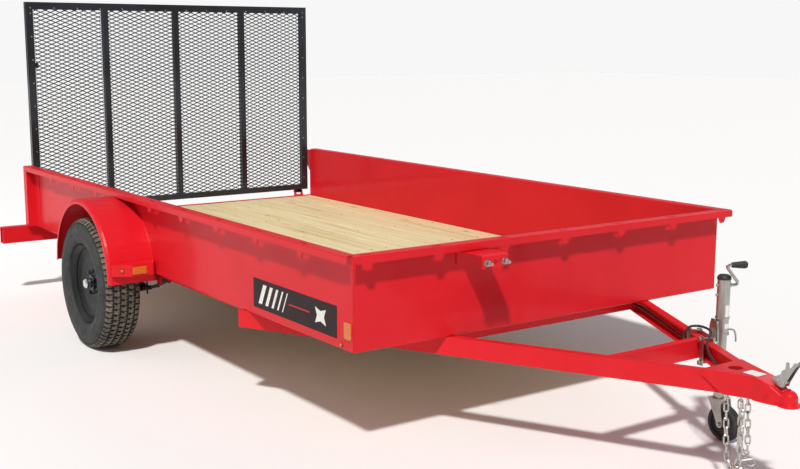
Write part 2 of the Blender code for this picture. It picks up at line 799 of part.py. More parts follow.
# ---- front bracket -----------------------------------------------------------
b_top = RAIL_Z - RAIL_LIP - 0.003
b_x0 = ax(FRONT) + GAP
b_x1 = ax(FRONT) + BRACKET_OUT
b_line = [
    (b_x0 + BRACKET_T / 2, b_top - 0.060),
    (b_x0 + BRACKET_T / 2, b_top - BRACKET_T / 2),
    (b_x1 - BRACKET_T / 2, b_top - BRACKET_T / 2),
    (b_x1 - BRACKET_T / 2, b_top - BRACKET_DROP),
]
b_y = (BRACKET_Y - BRACKET_W / 2, BRACKET_Y + BRACKET_W / 2)
bracket = prism("front_bracket", folded(b_line, BRACKET_T, 0.006, 4), "Y", b_y, RED)
b_hole_z = b_top - 0.030
cut(
    bracket,
    rod("b_hole", (b_x1 - 0.02, BRACKET_Y, b_hole_z), (b_x1 + 0.01, BRACKET_Y, b_hole_z), 0.009),
)
for k, y in enumerate((BRACKET_Y - 0.044, BRACKET_Y + 0.044)):
    stud_ends = ((b_x1 + GAP, y, b_hole_z), (b_x1 + 0.034, y, b_hole_z))
    stud = rod(f"bracket_stud_{k + 1}", *stud_ends, 0.006, ZINC, 16)
    washer = rod(f"nut_{k}", (b_x1 + GAP, y, b_hole_z), (b_x1 + 0.013, y, b_hole_z), 0.0125, sides=6)
    joined(stud, washer)

# ---- axle and springs --------------------------------------------------------
axle = rod("axle_beam", (AXLE_X, -AXLE_HALF, WHEEL_R), (AXLE_X, AXLE_HALF, WHEEL_R), AXLE_R, RED, 32)
spindle = rod("spindle", (AXLE_X, -SPINDLE_HALF, WHEEL_R), (AXLE_X, SPINDLE_HALF, WHEEL_R), SPINDLE_R)
joined(axle, spindle)

PAD_TOP = WHEEL_R - AXLE_R - GAP
PAD_T = 0.008
STACK_TOP = PAD_TOP - PAD_T


def leaf_z(x):
    """Height of the main leaf's top at a distance from the axle."""
    rise = EYE_Z - EYE_R - 0.0005 - STACK_TOP
    return STACK_TOP + rise * (abs(x) / SPRING_HALF) ** 2


for word, side in SIDES:
    y_mid = side * RAIL_IN
    y_leaf = (y_mid - SPRING_W / 2, y_mid + SPRING_W / 2)
    steps = 12
    xs = [SPRING_HALF * (-1 + 2 * i / steps) for i in range(steps + 1)]
    top = [(ax(x), leaf_z(x)) for x in xs]
    spring = prism(
        "leaf_spring_" + word,
        top + [(x, z - LEAF_T) for x, z in top[::-1]],
        "Y",
        y_leaf,
        BLACK,
    )
    parts = []
    for n, share in ((1, 0.66), (2, 0.36)):
        xs = [share * SPRING_HALF * (-1 + 2 * i / 6) for i in range(7)]
        top = [(ax(x), leaf_z(x) - n * LEAF_T + 0.0006 * n) for x in xs]
        low = [(x, z - LEAF_T) for x, z in top[::-1]]
        parts.append(prism(f"leaf_{word}_{n}", top + low, "Y", y_leaf))
    for x_eye in (-SPRING_HALF, SPRING_HALF):
        x = ax(x_eye)
        eye_ends = ((x, y_leaf[0], EYE_Z), (x, y_leaf[1], EYE_Z))
        parts.append(pipe(f"eye_{word}_{x_eye}", *eye_ends, EYE_R + LEAF_T, EYE_R, sides=14))
    pad_z = (STACK_TOP - 0.001, PAD_TOP)
    parts.append(box("pad_" + word, (AXLE_X - 0.030, AXLE_X + 0.030), y_leaf, pad_z))
    stack_low = STACK_TOP - 3 * LEAF_T
    plate_z = (stack_low - 0.007, stack_low + 0.0015)
    plate_y = (y_mid - 0.040, y_mid + 0.040)
    parts.append(box("plate_" + word, (AXLE_X - 0.048, AXLE_X + 0.048), plate_y, plate_z))
    for n, y in enumerate((y_mid - SPRING_W / 2 - 0.0065, y_mid + SPRING_W / 2 + 0.0065)):
        r = AXLE_R + 0.0055 + GAP
        low = plate_z[0] - 0.022
        path = [(AXLE_X - r, y, low), (AXLE_X - r, y, WHEEL_R)]
        for a in range(150, 29, -30):
            t = math.radians(a)
            path.append((AXLE_X + r * math.cos(t), y, WHEEL_R + r * math.sin(t)))
        path += [(AXLE_X + r, y, WHEEL_R), (AXLE_X + r, y, low)]
        parts.append(swept(f"u_{word}_{n}", path, 0.005, sides=6))
    joined(spring, *parts)

# ---- fenders -----------------------------------------------------------------
for word, side in SIDES:
    steps = 30
    roll, bevel = FENDER_ROLL, 0.3 * FENDER_ROLL
    y_in = side * (HALF_W + GAP)
    y_out = side * FENDER_OUT
    rings = []
    for i in range(steps + 1):
        a = math.radians(-1 + 180 * i / steps)
        section = [
            (y_in, 0.0),
            (y_out - side * roll, 0.0),
            (y_out - side * bevel, -bevel),
            (y_out, -roll),
            (y_out, -FENDER_LIP),
            (y_out - side * SHEET, -FENDER_LIP),
            (y_out - side * SHEET, -roll),
            (y_out - side * (bevel + 0.7 * SHEET), -bevel - 0.7 * SHEET),
            (y_out - side * roll, -SHEET),
            (y_in, -SHEET),
        ]
        c, s = math.cos(a), math.sin(a)
        ring = []
        for y, r in section:
            ring.append((ax(FENDER_X) + (FENDER_R + r) * c, y, FENDER_Z + (FENDER_H + r) * s))
        rings.append(ring)
    loft("fender_" + word, rings, RED, smooth=True)
    x_face = ax(FENDER_X) + FENDER_R + 0.0605
    box_rings = []
    for z in (BOX_Z0, (BOX_Z0 + BOX_Z1) / 2, BOX_Z1):
        rise = (z - FENDER_Z) / FENDER_H
        x_back = ax(FENDER_X) + FENDER_R * math.sqrt(1 - rise * rise) + 0.0006
        pts = [
            (x_back, side * (FENDER_OUT - FENDER_ROLL)),
            (x_face - 0.046, side * (FENDER_OUT - FENDER_ROLL)),
            (x_face, side * (FENDER_OUT - 0.095)),
            (x_face, side * (HALF_W + 0.030)),
            (x_back + 0.020, side * (HALF_W + 0.0005)),
            (x_back, side * (HALF_W + 0.0005)),
        ]
        box_rings.append([(x, y, z) for x, y in pts])
    loft("lamp_box_" + word, box_rings, RED)

# ---- wheels ------------------------------------------------------------------
rw = RIM_W / 2
TYRE = [
    (-0.069, BEAD_R + GAP),
    (0.069, BEAD_R + GAP),
    (0.0747, RIM_R + 0.002),
    (0.0885, RIM_R + 0.004),
    (TYRE_W / 2, 0.258),
    (0.1000, 0.298),
    (0.0890, 0.3280),
    (0.0700, 0.3395),
    (0.0, WHEEL_R),
    (-0.0700, 0.3395),
    (-0.0890, 0.3280),
    (-0.1000, 0.298),
    (-TYRE_W / 2, 0.258),
    (-0.0885, RIM_R + 0.004),
    (-0.0747, RIM_R + 0.002),
]
RIM = [
    (-0.069, BEAD_R),
    (-0.0750, RIM_R - 0.002),
    (-0.0790, RIM_R),
    (-rw, RIM_R - 0.004),
    (-0.070, BEAD_R - RIM_T),
    (DISC_AT + 0.004, BEAD_R - RIM_T - 0.004),
    (DISC_AT + 0.008, 0.150),
    (DISC_AT - 0.006, 0.085),
    (DISC_AT - 0.006, BORE_R),
    (DISC_AT, BORE_R),
    (DISC_AT, 0.085),
    (DISC_AT + 0.014, 0.152),
    (DISC_AT + 0.018, BEAD_R - RIM_T - 0.003),
    (0.070, BEAD_R - RIM_T),
    (rw, RIM_R - 0.004),
    (0.0790, RIM_R),
    (0.0750, RIM_R - 0.002),
    (0.069, BEAD_R),
]
for word, side in SIDES:
    centre = (AXLE_X, side * TRACK, WHEEL_R)
    made = [
        spun("tyre_" + word, TYRE, centre, side, RUBBER, 56),
        spun("rim_" + word, RIM, centre, side, WHEEL_STEEL, 40),
    ]
    back = HUB_BACK - TRACK
    bore_end = SPINDLE_HALF + 0.010 - TRACK
    flange = DISC_AT - 0.006 - GAP
    hub = [
        (bore_end, 0.0),
        (bore_end, SPINDLE_R + 0.001),
        (back, SPINDLE_R + 0.001),
        (back, 0.034),
        (flange - 0.030, HUB_R - 0.003),
        (flange - 0.012, HUB_R),
        (flange - 0.012, 0.070),
        (flange, 0.070),
        (flange, HUB_R),
        (DISC_AT + 0.012, HUB_R - 0.002),
        (DISC_AT + 0.014, 0.027),
        (DISC_AT + 0.040, 0.0265),
        (DISC_AT + 0.047, 0.020),
        (DISC_AT + 0.049, 0.0),
    ]
    made.append(turned("hub_" + word, hub, centre, (0, side, 0), ZINC, 24))
    for obj in made:
        set_origin(obj, centre)

# ---- ramp gate ---------------------------------------------------------------
gate_x = (ax(-GATE_FRONT) - GATE_D, ax(-GATE_FRONT))
hinge = (ax(-HINGE_X), 0.0, HINGE_Z)
gate = box("gate_frame", gate_x, (-GATE_HALF, GATE_HALF), (GATE_BOTTOM, GATE_TOP), BLACK)
bays = 4
pitch = (2 * GATE_HALF - GATE_SIDE) / bays
holes = []
for k in range(bays):
    y0 = -GATE_HALF + GATE_SIDE / 2 + k * pitch
    y1 = y0 + pitch
    inset0 = GATE_SIDE / 2 if k == 0 else GATE_BAR / 2
    inset1 = GATE_SIDE / 2 if k == bays - 1 else GATE_BAR / 2
    holes.append(
        box(
            f"bay_{k}",
            (gate_x[0] - 0.01, gate_x[1] + 0.01),
            (y0 + inset0, y1 - inset1),
            (GATE_BOTTOM + GATE_FOOT, GATE_TOP - GATE_SIDE),
        )
    )
cut(gate, *holes)
knuckles = []
for side in (-1, 1):
    y = (side * HINGE_Y - 0.022, side * HINGE_Y + 0.022)
    k_name = f"knuckle_{side}"
    k_ends = ((hinge[0], y[0], HINGE_Z), (hinge[0], y[1], HINGE_Z))
    knuckles.append(pipe(k_name, *k_ends, KNUCKLE_R, PIN_R + 0.0007, sides=16))
    web_x = (hinge[0] - 0.0035, hinge[0] + 0.0035)
    web = box(k_name + "_web", web_x, y, (HINGE_Z + PIN_R + 0.003, GATE_BOTTOM + 0.002))
    knuckles.append(web)
joined(gate, *knuckles)
set_origin(gate, hinge)

mesh_x = (gate_x[0] - GAP - MESH_T, gate_x[0] - GAP)
mesh = box(
    "gate_mesh",
    mesh_x,
    (-GATE_HALF + 0.012, GATE_HALF - 0.012),
    (GATE_BOTTOM + 0.010, GATE_TOP - 0.012),
    BLACK,
)
set_origin(mesh, hinge)

for word, side in SIDES:
    lugs = []
    for n, at in enumerate((-1, 1)):
        y_lug = (side * HINGE_Y + at * 0.0265 - 0.003, side * HINGE_Y + at * 0.0265 + 0.003)
        pts = [(hinge[0] - 0.002, DECK_TOP + GAP), (hinge[0] + 0.026, DECK_TOP + GAP)]
        pts += [(hinge[0] + 0.012, HINGE_Z + 0.004)]
        pts += arc((hinge[0], HINGE_Z), 0.0125, 20, 215, 6)
        lugs.append(prism(f"lug_{word}_{n}", pts, "Y", y_lug, RED if n == 0 else None))
    lugs[0].name = "gate_hinge_" + word
    pin = rod(
        "pin_" + word,
        (hinge[0], side * HINGE_Y - 0.036, HINGE_Z),
        (hinge[0], side * HINGE_Y + 0.036, HINGE_Z),
        PIN_R,
        sides=16,
    )
    foot = box(
        "foot_" + word,
        (hinge[0] - 0.014, hinge[0] + 0.026),
        (side * HINGE_Y - 0.0295, side * HINGE_Y + 0.0295),
        (DECK_TOP + GAP, DECK_TOP + 0.005),
    )
    joined(lugs[0], lugs[1], pin, foot)

# ---- jack --------------------------------------------------------------------
ALONG = Vector((math.cos(LEG_ANGLE), -math.sin(LEG_ANGLE), 0.0))
OUT = Vector((math.sin(LEG_ANGLE), math.cos(LEG_ANGLE), 0.0))
UP = Vector((0.0, 0.0, 1.0))
FOOT = Vector((ax(JACK_X), leg_outer(JACK_X), 0.0))
MAST = FOOT + JACK_OUT * OUT


def by_leg(a, o, z):
    """A point from distances along the leg, out from its outer face, and up."""
    return FOOT + a * ALONG + o * OUT + z * UP


def leg_block(name, a, o, z, kind=None):
    """A box set square to the left leg."""
    base = [(a[0], o[0]), (a[1], o[0]), (a[1], o[1]), (a[0], o[1])]
    return loft(name, [[by_leg(p, q, h) for p, q in base] for h in z], kind)


mount_z = (LEG_Z[0] - 0.016, LEG_Z[1] + 0.016)
mount = leg_block("jack_mount", (-0.085, 0.085), (GAP, 0.006), mount_z, ZINC)
parts = [rod("boss", by_leg(0, 0.003, PIVOT_Z), by_leg(0, 0.034, PIVOT_Z), PIVOT_R + 0.006, sides=24)]
for n, a in enumerate((-0.0675, 0.0675)):
    parts.append(
        leg_block(
            f"strap_{n}",
            (a - 0.013, a + 0.013),
            (-LEG_FLANGE - 0.006 - GAP, -LEG_FLANGE - GAP),
            (LEG_Z[0] - 0.022, LEG_Z[1] + 0.020),
        )
    )
    for m, z in enumerate((LEG_Z[0] - 0.0105, LEG_Z[1] + 0.0105)):
        bolt_ends = (by_leg(a, -LEG_FLANGE - 0.016, z), by_leg(a, 0.016, z))
        parts.append(rod(f"bolt_{n}_{m}", *bolt_ends, 0.005, sides=8))
joined(mount, *parts)

PLATE_O = (0.0345, 0.0405)
tube_ends = (MAST + JACK_LOW * UP, MAST + JACK_TOP * UP)
tube = pipe("jack_tube", *tube_ends, TUBE_R, TUBE_R - TUBE_T, ZINC, 28)
plate_pts = arc((0.0, PIVOT_Z), 0.046, 180, 360, 16)
plate_pts += [(0.040, 0.470), (0.026, 0.500), (-0.026, 0.500), (-0.040, 0.470)]
rings = [[by_leg(a, o, z) for a, z in plate_pts] for o in PLATE_O]
plate = loft("swivel_plate", rings)
gusset_o = (PLATE_O[1] - 0.001, JACK_OUT - TUBE_R + 0.0025)
gusset = leg_block("gusset", (-0.022, 0.022), gusset_o, (JACK_LOW + 0.002, 0.498))
cap_ends = (MAST + (JACK_TOP - 0.006) * UP, MAST + (JACK_TOP + 0.009) * UP)
cap = rod("cap", *cap_ends, TUBE_R + 0.0015, sides=28, end_radius=TUBE_R - 0.004)
joined(tube, plate, gusset, cap)

crank_in = TUBE_R + GAP
shaft = swept(
    "jack_crank",
    [
        MAST + (crank_in + 0.0005) * OUT + CRANK_Z * UP,
        MAST + 0.048 * OUT + CRANK_Z * UP,
        MAST + 0.054 * OUT + 0.003 * ALONG + (CRANK_Z + 0.004) * UP,
        MAST + 0.050 * OUT + 0.012 * ALONG + (CRANK_Z + 0.016) * UP,
        MAST - 0.004 * OUT + 0.042 * ALONG + (CRANK_Z + 0.075) * UP,
        MAST - 0.004 * OUT + 0.044 * ALONG + (CRANK_Z + 0.084) * UP,
        MAST + 0.001 * OUT + 0.044 * ALONG + (CRANK_Z + 0.090) * UP,
        MAST + 0.008 * OUT + 0.044 * ALONG + (CRANK_Z + 0.090) * UP,
    ],
    CRANK_R,
    ZINC,
    12,
)
g0 = MAST + (0.0085 + GAP) * OUT + 0.044 * ALONG + (CRANK_Z + 0.090) * UP
grip = turned(
    "jack_grip",
    [
        (0.0, 0.0),
        (0.0, 0.0095),
        (0.004, 0.0110),
        (0.030, 0.0135),
        (0.056, 0.0155),
        (0.063, 0.0125),
        (0.065, 0.0),
    ],
    g0,
    OUT,
    RUBBER,
    24,
)

WHEEL_C = MAST + TRAIL * Vector((1, 0, 0)) + JACK_WHEEL_R * UP
stem_low = FORK_TOP + GAP
inner_ends = (MAST + stem_low * UP, MAST + INNER_TOP * UP)
inner = pipe("jack_inner_tube", *inner_ends, INNER_R, INNER_R - 0.004, ZINC, 28)

fx, fy = WHEEL_C.x, WHEEL_C.y
mx = MAST.x
fork_y = (fy - FORK_IN - FORK_T, fy + FORK_IN + FORK_T)
fork = box("jack_fork", (mx - 0.026, mx + 0.034), fork_y, (FORK_TOP - FORK_T, FORK_TOP), ZINC)
stem_ends = (MAST + (FORK_TOP - 0.002) * UP, MAST + (FORK_TOP + 0.050) * UP)
parts = [rod("stem", *stem_ends, INNER_R - 0.0055, sides=24)]
for cheek in (-1, 1):
    pts = [(mx - 0.026, FORK_TOP), (mx + 0.034, FORK_TOP), (fx + 0.016, JACK_WHEEL_R + 0.004)]
    pts += arc((fx, JACK_WHEEL_R), 0.015, 0, -180, 8)
    pts += [(fx - 0.017, JACK_WHEEL_R + 0.010)]
    y = sorted((fy + cheek * FORK_IN, fy + cheek * (FORK_IN + FORK_T)))
    parts.append(prism(f"cheek_{cheek}", pts, "Y", y))
axle_ends = ((fx, fy - 0.042, JACK_WHEEL_R), (fx, fy + 0.042, JACK_WHEEL_R))
parts.append(rod("axle", *axle_ends, 0.006, sides=16))
joined(fork, *parts)

wheel_outline = [
    (-0.020, 0.0068),
    (-0.020, 0.030),
    (-0.014, 0.034),
    (-0.014, 0.052),
    (-0.0205, 0.057),
    (-0.0205, 0.067),
    (-0.012, JACK_WHEEL_R),
    (0.012, JACK_WHEEL_R),
    (0.0205, 0.067),
    (0.0205, 0.057),
    (0.014, 0.052),
    (0.014, 0.034),
    (0.020, 0.030),
    (0.020, 0.0068),
]
jack_wheel = spun("jack_wheel", wheel_outline, tuple(WHEEL_C), 1, RUBBER, 32)
set_origin(jack_wheel, WHEEL_C)
pivot = by_leg(0, 0.0375, PIVOT_Z)
for obj in (tube, shaft, grip):
    set_origin(obj, pivot)
set_origin(inner, MAST + PIVOT_Z * UP)
set_origin(fork, MAST + FORK_TOP * UP)

# ---- safety chains -----------------------------------------------------------
CHAIN = {
    "right": [
        (3.184, -0.042, 0.340),
        (3.190, -0.044, 0.240),
        (3.198, -0.046, 0.140),
        (3.212, -0.048, 0.092),
        (3.232, -0.048, 0.074),
        (3.250, -0.047, 0.090),
        (3.256, -0.045, 0.140),
        (3.256, -0.043, 0.240),
        (3.254, -0.042, 0.340),
    ],
    "left": [
        (3.194, 0.026, 0.340),
        (3.196, 0.028, 0.250),
        (3.200, 0.030, 0.150),
        (3.205, 0.031, 0.116),
        (3.218, 0.032, 0.100),
        (3.231, 0.031, 0.116),
        (3.233, 0.030, 0.150),
        (3.229, 0.028, 0.250),
        (3.226, 0.026, 0.340),
    ],
}
for word, points in CHAIN.items():
    swept("safety_chain_" + word, [(ax(x), y, z) for x, y, z in points], CHAIN_R, ZINC, 12)

# ---- lighting cable ----------------------------------------------------------
ROUTE = [
    (2.158, 0.560, 0.400),
    (2.200, 0.560, 0.395),
    (2.300, 0.519, 0.388),
    (2.450, 0.441, 0.384),
    (2.600, 0.362, 0.382),
    (2.680, 0.312, 0.385),
    (2.722, 0.262, 0.400),
    (2.738, 0.238, 0.432),
    (2.748, 0.254, 0.460),
    (2.775, 0.277, 0.466),
    (2.812, 0.281, 0.464),
    (2.848, 0.262, 0.462),
    (2.878, 0.226, 0.456),
    (2.902, 0.184, 0.445),
    (2.932, 0.146, 0.428),
    (2.975, 0.115, 0.410),
    (3.035, 0.080, 0.400),
    (3.110, 0.045, 0.396),
    (3.190, 0.020, 0.392),
]


def smooth_route(points, spacing):
    """Evenly spaced points on a smooth curve through the given ones."""
    pts = [Vector(p) for p in points]
    pts = [2 * pts[0] - pts[1]] + pts + [2 * pts[-1] - pts[-2]]
    dense = []
    for a, b, c, d in zip(pts, pts[1:], pts[2:], pts[3:]):
        for k in range(40):
            t = k / 40
            bend = (2 * a - 5 * b + 4 * c - d) * t * t
            twist = (3 * b - a - 3 * c + d) * t ** 3
            dense.append(0.5 * (2 * b + (c - a) * t + bend + twist))
    dense.append(pts[-2])
    length = sum((q - p).length for p, q in zip(dense, dense[1:]))
    count = max(2, round(length / spacing))
    out, run, want = [dense[0]], 0.0, length / count
    for p, q in zip(dense, dense[1:]):
        seg = (q - p).length
        while run + seg >= want and len(out) < count:
            t = (want - run) / seg
            p = p.lerp(q, t)
            out.append(p)
            seg = (q - p).length
            run = 0.0
            want = length / count
        run += seg
    out.append(dense[-1])
    return out


curve = bpy.data.curves.new("lighting_cable", "CURVE")
curve.dimensions = "3D"
curve.bevel_depth = CABLE_R
curve.bevel_resolution = 1
curve.use_fill_caps = True
cable_points = smooth_route([(ax(x), y, z) for x, y, z in ROUTE], CABLE_R * 2 * 2.2)
spline = curve.splines.new("POLY")
spline.points.add(len(cable_points) - 1)
for point, p in zip(spline.points, cable_points):
    point.co = (p.x, p.y, p.z, 1.0)
curve.materials.append(paint(PVC))
TRAILER.objects.link(bpy.data.objects.new("lighting_cable", curve))
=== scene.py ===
"""Looks of the utility trailer: materials, fine geometry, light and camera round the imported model."""

import json
import random
from math import cos, hypot, pi, radians, sin, tan

import bmesh
import bpy
from mathutils import Matrix, Vector


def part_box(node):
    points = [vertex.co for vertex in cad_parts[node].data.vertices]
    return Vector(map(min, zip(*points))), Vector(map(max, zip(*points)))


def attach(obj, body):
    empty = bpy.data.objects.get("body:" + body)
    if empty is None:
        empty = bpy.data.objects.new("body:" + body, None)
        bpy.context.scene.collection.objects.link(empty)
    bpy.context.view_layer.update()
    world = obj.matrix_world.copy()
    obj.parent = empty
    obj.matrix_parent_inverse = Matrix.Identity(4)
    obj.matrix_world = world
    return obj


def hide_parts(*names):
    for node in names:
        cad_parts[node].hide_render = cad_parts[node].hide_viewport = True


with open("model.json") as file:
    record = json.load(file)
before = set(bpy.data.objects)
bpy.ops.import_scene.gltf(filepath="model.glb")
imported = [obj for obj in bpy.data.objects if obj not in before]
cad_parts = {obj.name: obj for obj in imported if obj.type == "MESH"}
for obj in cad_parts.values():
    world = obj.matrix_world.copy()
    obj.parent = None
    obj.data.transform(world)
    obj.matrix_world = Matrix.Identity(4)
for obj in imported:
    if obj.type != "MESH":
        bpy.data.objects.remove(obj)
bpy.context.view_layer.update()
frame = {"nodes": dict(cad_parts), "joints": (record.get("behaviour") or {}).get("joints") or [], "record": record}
nodes = frame["nodes"]
JOINTS = {j["name"]: j for j in frame["joints"]}
AXLE_X, _, WHEEL_R = JOINTS["wheel_right_spin"]["pos_m"]
TRACK = abs(JOINTS["wheel_right_spin"]["pos_m"][1])
SIDES = (("right", -1), ("left", 1))
rng = random.Random(7)

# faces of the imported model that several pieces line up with
WALL_Y = 1.03  # side wall's outer face, from the middle
FRONT_X = AXLE_X + 2.227  # front wall's outer face
LEG_ANGLE = radians(27.6)  # how far a tongue leg leans inward
LEG_Y = 0.5795  # its outer face where it passes the front wall
DISC_AT = 0.036  # wheel disc's outer face, outboard of the wheel's middle
BALL_X, BALL_Z = AXLE_X + 3.418, 0.378  # centre of the coupler's socket

# ---- camera
CAMERA_AT = (4.8722, -3.33, 1.601)
CAMERA_RIGHT = (0.57565, 0.8177, 0.00209)
CAMERA_UP = (-0.13641, 0.09351, 0.98623)
CAMERA_BACK = (0.80624, -0.56801, 0.16538)
CAMERA_SENSOR, CAMERA_LENS = 36.0, 51.98


def placed(name, data):
    """A new object in the scene."""
    obj = bpy.data.objects.new(name, data)
    bpy.context.scene.collection.objects.link(obj)
    return obj


camera = placed("camera", bpy.data.cameras.new("camera"))
turn = Matrix((CAMERA_RIGHT, CAMERA_UP, CAMERA_BACK)).transposed()
camera.matrix_world = Matrix.Translation(CAMERA_AT) @ turn.to_4x4()
camera.data.sensor_width = CAMERA_SENSOR
camera.data.lens = CAMERA_LENS
camera.data.clip_end = 200.0
bpy.context.scene.camera = camera


# ---- shader helpers
class Shader:
    """A Principled material and short names for the nodes that feed it."""

    def __init__(self, name, rough=0.5, metal=0.0, **sockets):
        self.mat = bpy.data.materials.new(name)
        self.mat.use_nodes = True
        self.tree = self.mat.node_tree
        self.out = self.tree.nodes["Principled BSDF"]
        self.put("Roughness", rough)
        self.put("Metallic", metal)
        for key, value in sockets.items():
            self.put(key.replace("_", " ").title(), value)
        self.coords = self.tree.nodes.new("ShaderNodeTexCoord").outputs["Object"]

    def feed(self, target, value):
        """Links another socket, or sets a constant; a colour gets its alpha."""
        if isinstance(value, bpy.types.NodeSocket):
            self.tree.links.new(value, target)
        elif isinstance(value, tuple):
            target.default_value = (*value, 1.0)[: len(target.default_value)]
        else:
            target.default_value = value

    def put(self, socket, value):
        self.feed(self.out.inputs[socket], value)

    def node(self, kind, out, inputs, **options):
        made = self.tree.nodes.new(kind)
        for key, value in options.items():
            setattr(made, key, value)
        for key, value in inputs.items():
            self.feed(made.inputs[key], value)
        return made.outputs[out]

    def stretched(self, scale, move=(0.0, 0.0, 0.0), source=None):
        inputs = {"Vector": source or self.coords, "Scale": scale, "Location": move}
        return self.node("ShaderNodeMapping", "Vector", inputs)

    def noise(self, scale, detail=3.0, rough=0.5, source=None):
        vector = source or self.coords
        inputs = {"Vector": vector, "Scale": scale, "Detail": detail, "Roughness": rough}
        return self.node("ShaderNodeTexNoise", "Fac", inputs)

    def part(self, source, channel=0, kind="XYZ"):
        """One channel of a vector, or of a colour with kind="Color"."""
        return self.node("ShaderNodeSeparate" + kind, channel, {0: source})

    def cells(self, out, scale, source=None):
        inputs = {"Vector": source or self.coords, "Scale": scale}
        return self.node("ShaderNodeTexVoronoi", out, inputs)

    def math(self, operation, a, b=0.0):
        return self.node("ShaderNodeMath", 0, {0: a, 1: b}, operation=operation)

    def ramp(self, fac, low, high, to_low=0.0, to_high=1.0):
        inputs = {"Value": fac, 1: low, 2: high, 3: to_low, 4: to_high}
        return self.node("ShaderNodeMapRange", 0, inputs)

    def mix(self, fac, a, b):
        return self.node("ShaderNodeMix", 2, {0: fac, 6: a, 7: b}, data_type="RGBA")

    def bump(self, height, distance, strength=1.0):
        inputs = {"Height": height, "Distance": distance, "Strength": strength}
        self.put("Normal", self.node("ShaderNodeBump", "Normal", inputs))


ROAD_DUST = (0.33, 0.25, 0.19)
DUST_FROM, DUST_TO = 0.1, 0.62  # heights between which the road dust thins out


def painted(name, base, dark, light, rough, coat, peel, dust=0.1, gloss=0.25):
    """Sprayed paint over steel: slow colour drift toward a lighter tone (on the bluish blacks a painted sheen),
    orange peel, road dust that thins with height.
    """
    s = Shader(name, coat_weight=coat, coat_roughness=0.06)
    s.put("Specular IOR Level", gloss)
    drift = s.ramp(s.noise(2.3, 4.0), 0.35, 0.65)
    colour = s.mix(drift, base, light)
    stain = s.ramp(s.noise(5.0, 5.0, 0.6), 0.56, 0.8, 0.0, 0.14)
    colour = s.mix(stain, colour, dark)
    height = s.part(s.coords, 2)
    low = s.ramp(height, DUST_FROM, DUST_TO, dust, 0.0)
    speck = s.ramp(s.noise(34.0, 5.0, 0.7), 0.45, 0.75)
    colour = s.mix(s.math("MULTIPLY", low, speck), colour, ROAD_DUST)
    s.put("Base Color", colour)
    s.put("Roughness", s.ramp(s.noise(24.0, 5.0, 0.6), 0.3, 0.7, rough, rough + 0.1))
    s.bump(s.noise(peel, 2.0, 0.5), 0.0002, 0.2)
    return s.mat


def zinc_plate(name, tone, rough):
    """Bright zinc: spangle, faint yellow passivation and fine scuffs along the piece."""
    s = Shader(name, metal=1.0)
    spangle = s.cells("Color", 190.0)
    grey = s.part(spangle, kind="Color")
    cool = tuple(v * 0.8 for v in tone)
    colour = s.mix(s.ramp(grey, 0.1, 0.9, 0.0, 0.45), tone, cool)
    warm = s.ramp(s.noise(26.0, 5.0, 0.6), 0.52, 0.72, 0.0, 0.55)
    colour = s.mix(warm, colour, (0.42, 0.37, 0.26))
    s.put("Base Color", colour)
    scuffs = s.noise(150.0, 3.0, 0.6, s.stretched((1.0, 1.0, 0.08)))
    s.put("Roughness", s.ramp(scuffs, 0.3, 0.7, rough, rough + 0.22))
    s.bump(scuffs, 0.0003, 0.25)
    return s.mat


def rubber(name, base, dusty, amount, rough=0.72):
    """Black rubber with a film of dust and a fine grain."""
    s = Shader(name, rough=rough)
    film = s.ramp(s.noise(14.0, 6.0, 0.65), 0.35, 0.75, 0.0, amount)
    s.put("Base Color", s.mix(film, base, dusty))
    s.put("Roughness", s.ramp(s.noise(40.0, 4.0), 0.3, 0.7, rough - 0.1, rough + 0.12))
    s.bump(s.noise(700.0, 3.0, 0.6), 0.0004, 0.5)
    return s.mat


def lens(name, colour, deep):
    """Moulded lamp plastic with small prisms under a clear face."""
    s = Shader(name, rough=0.22, coat_weight=0.25, coat_roughness=0.05)
    facets = s.cells("Distance", 260.0)
    s.put("Base Color", s.mix(s.ramp(facets, 0.1, 0.7), colour, deep))
    s.bump(facets, 0.0008, 0.5)
    return s.mat


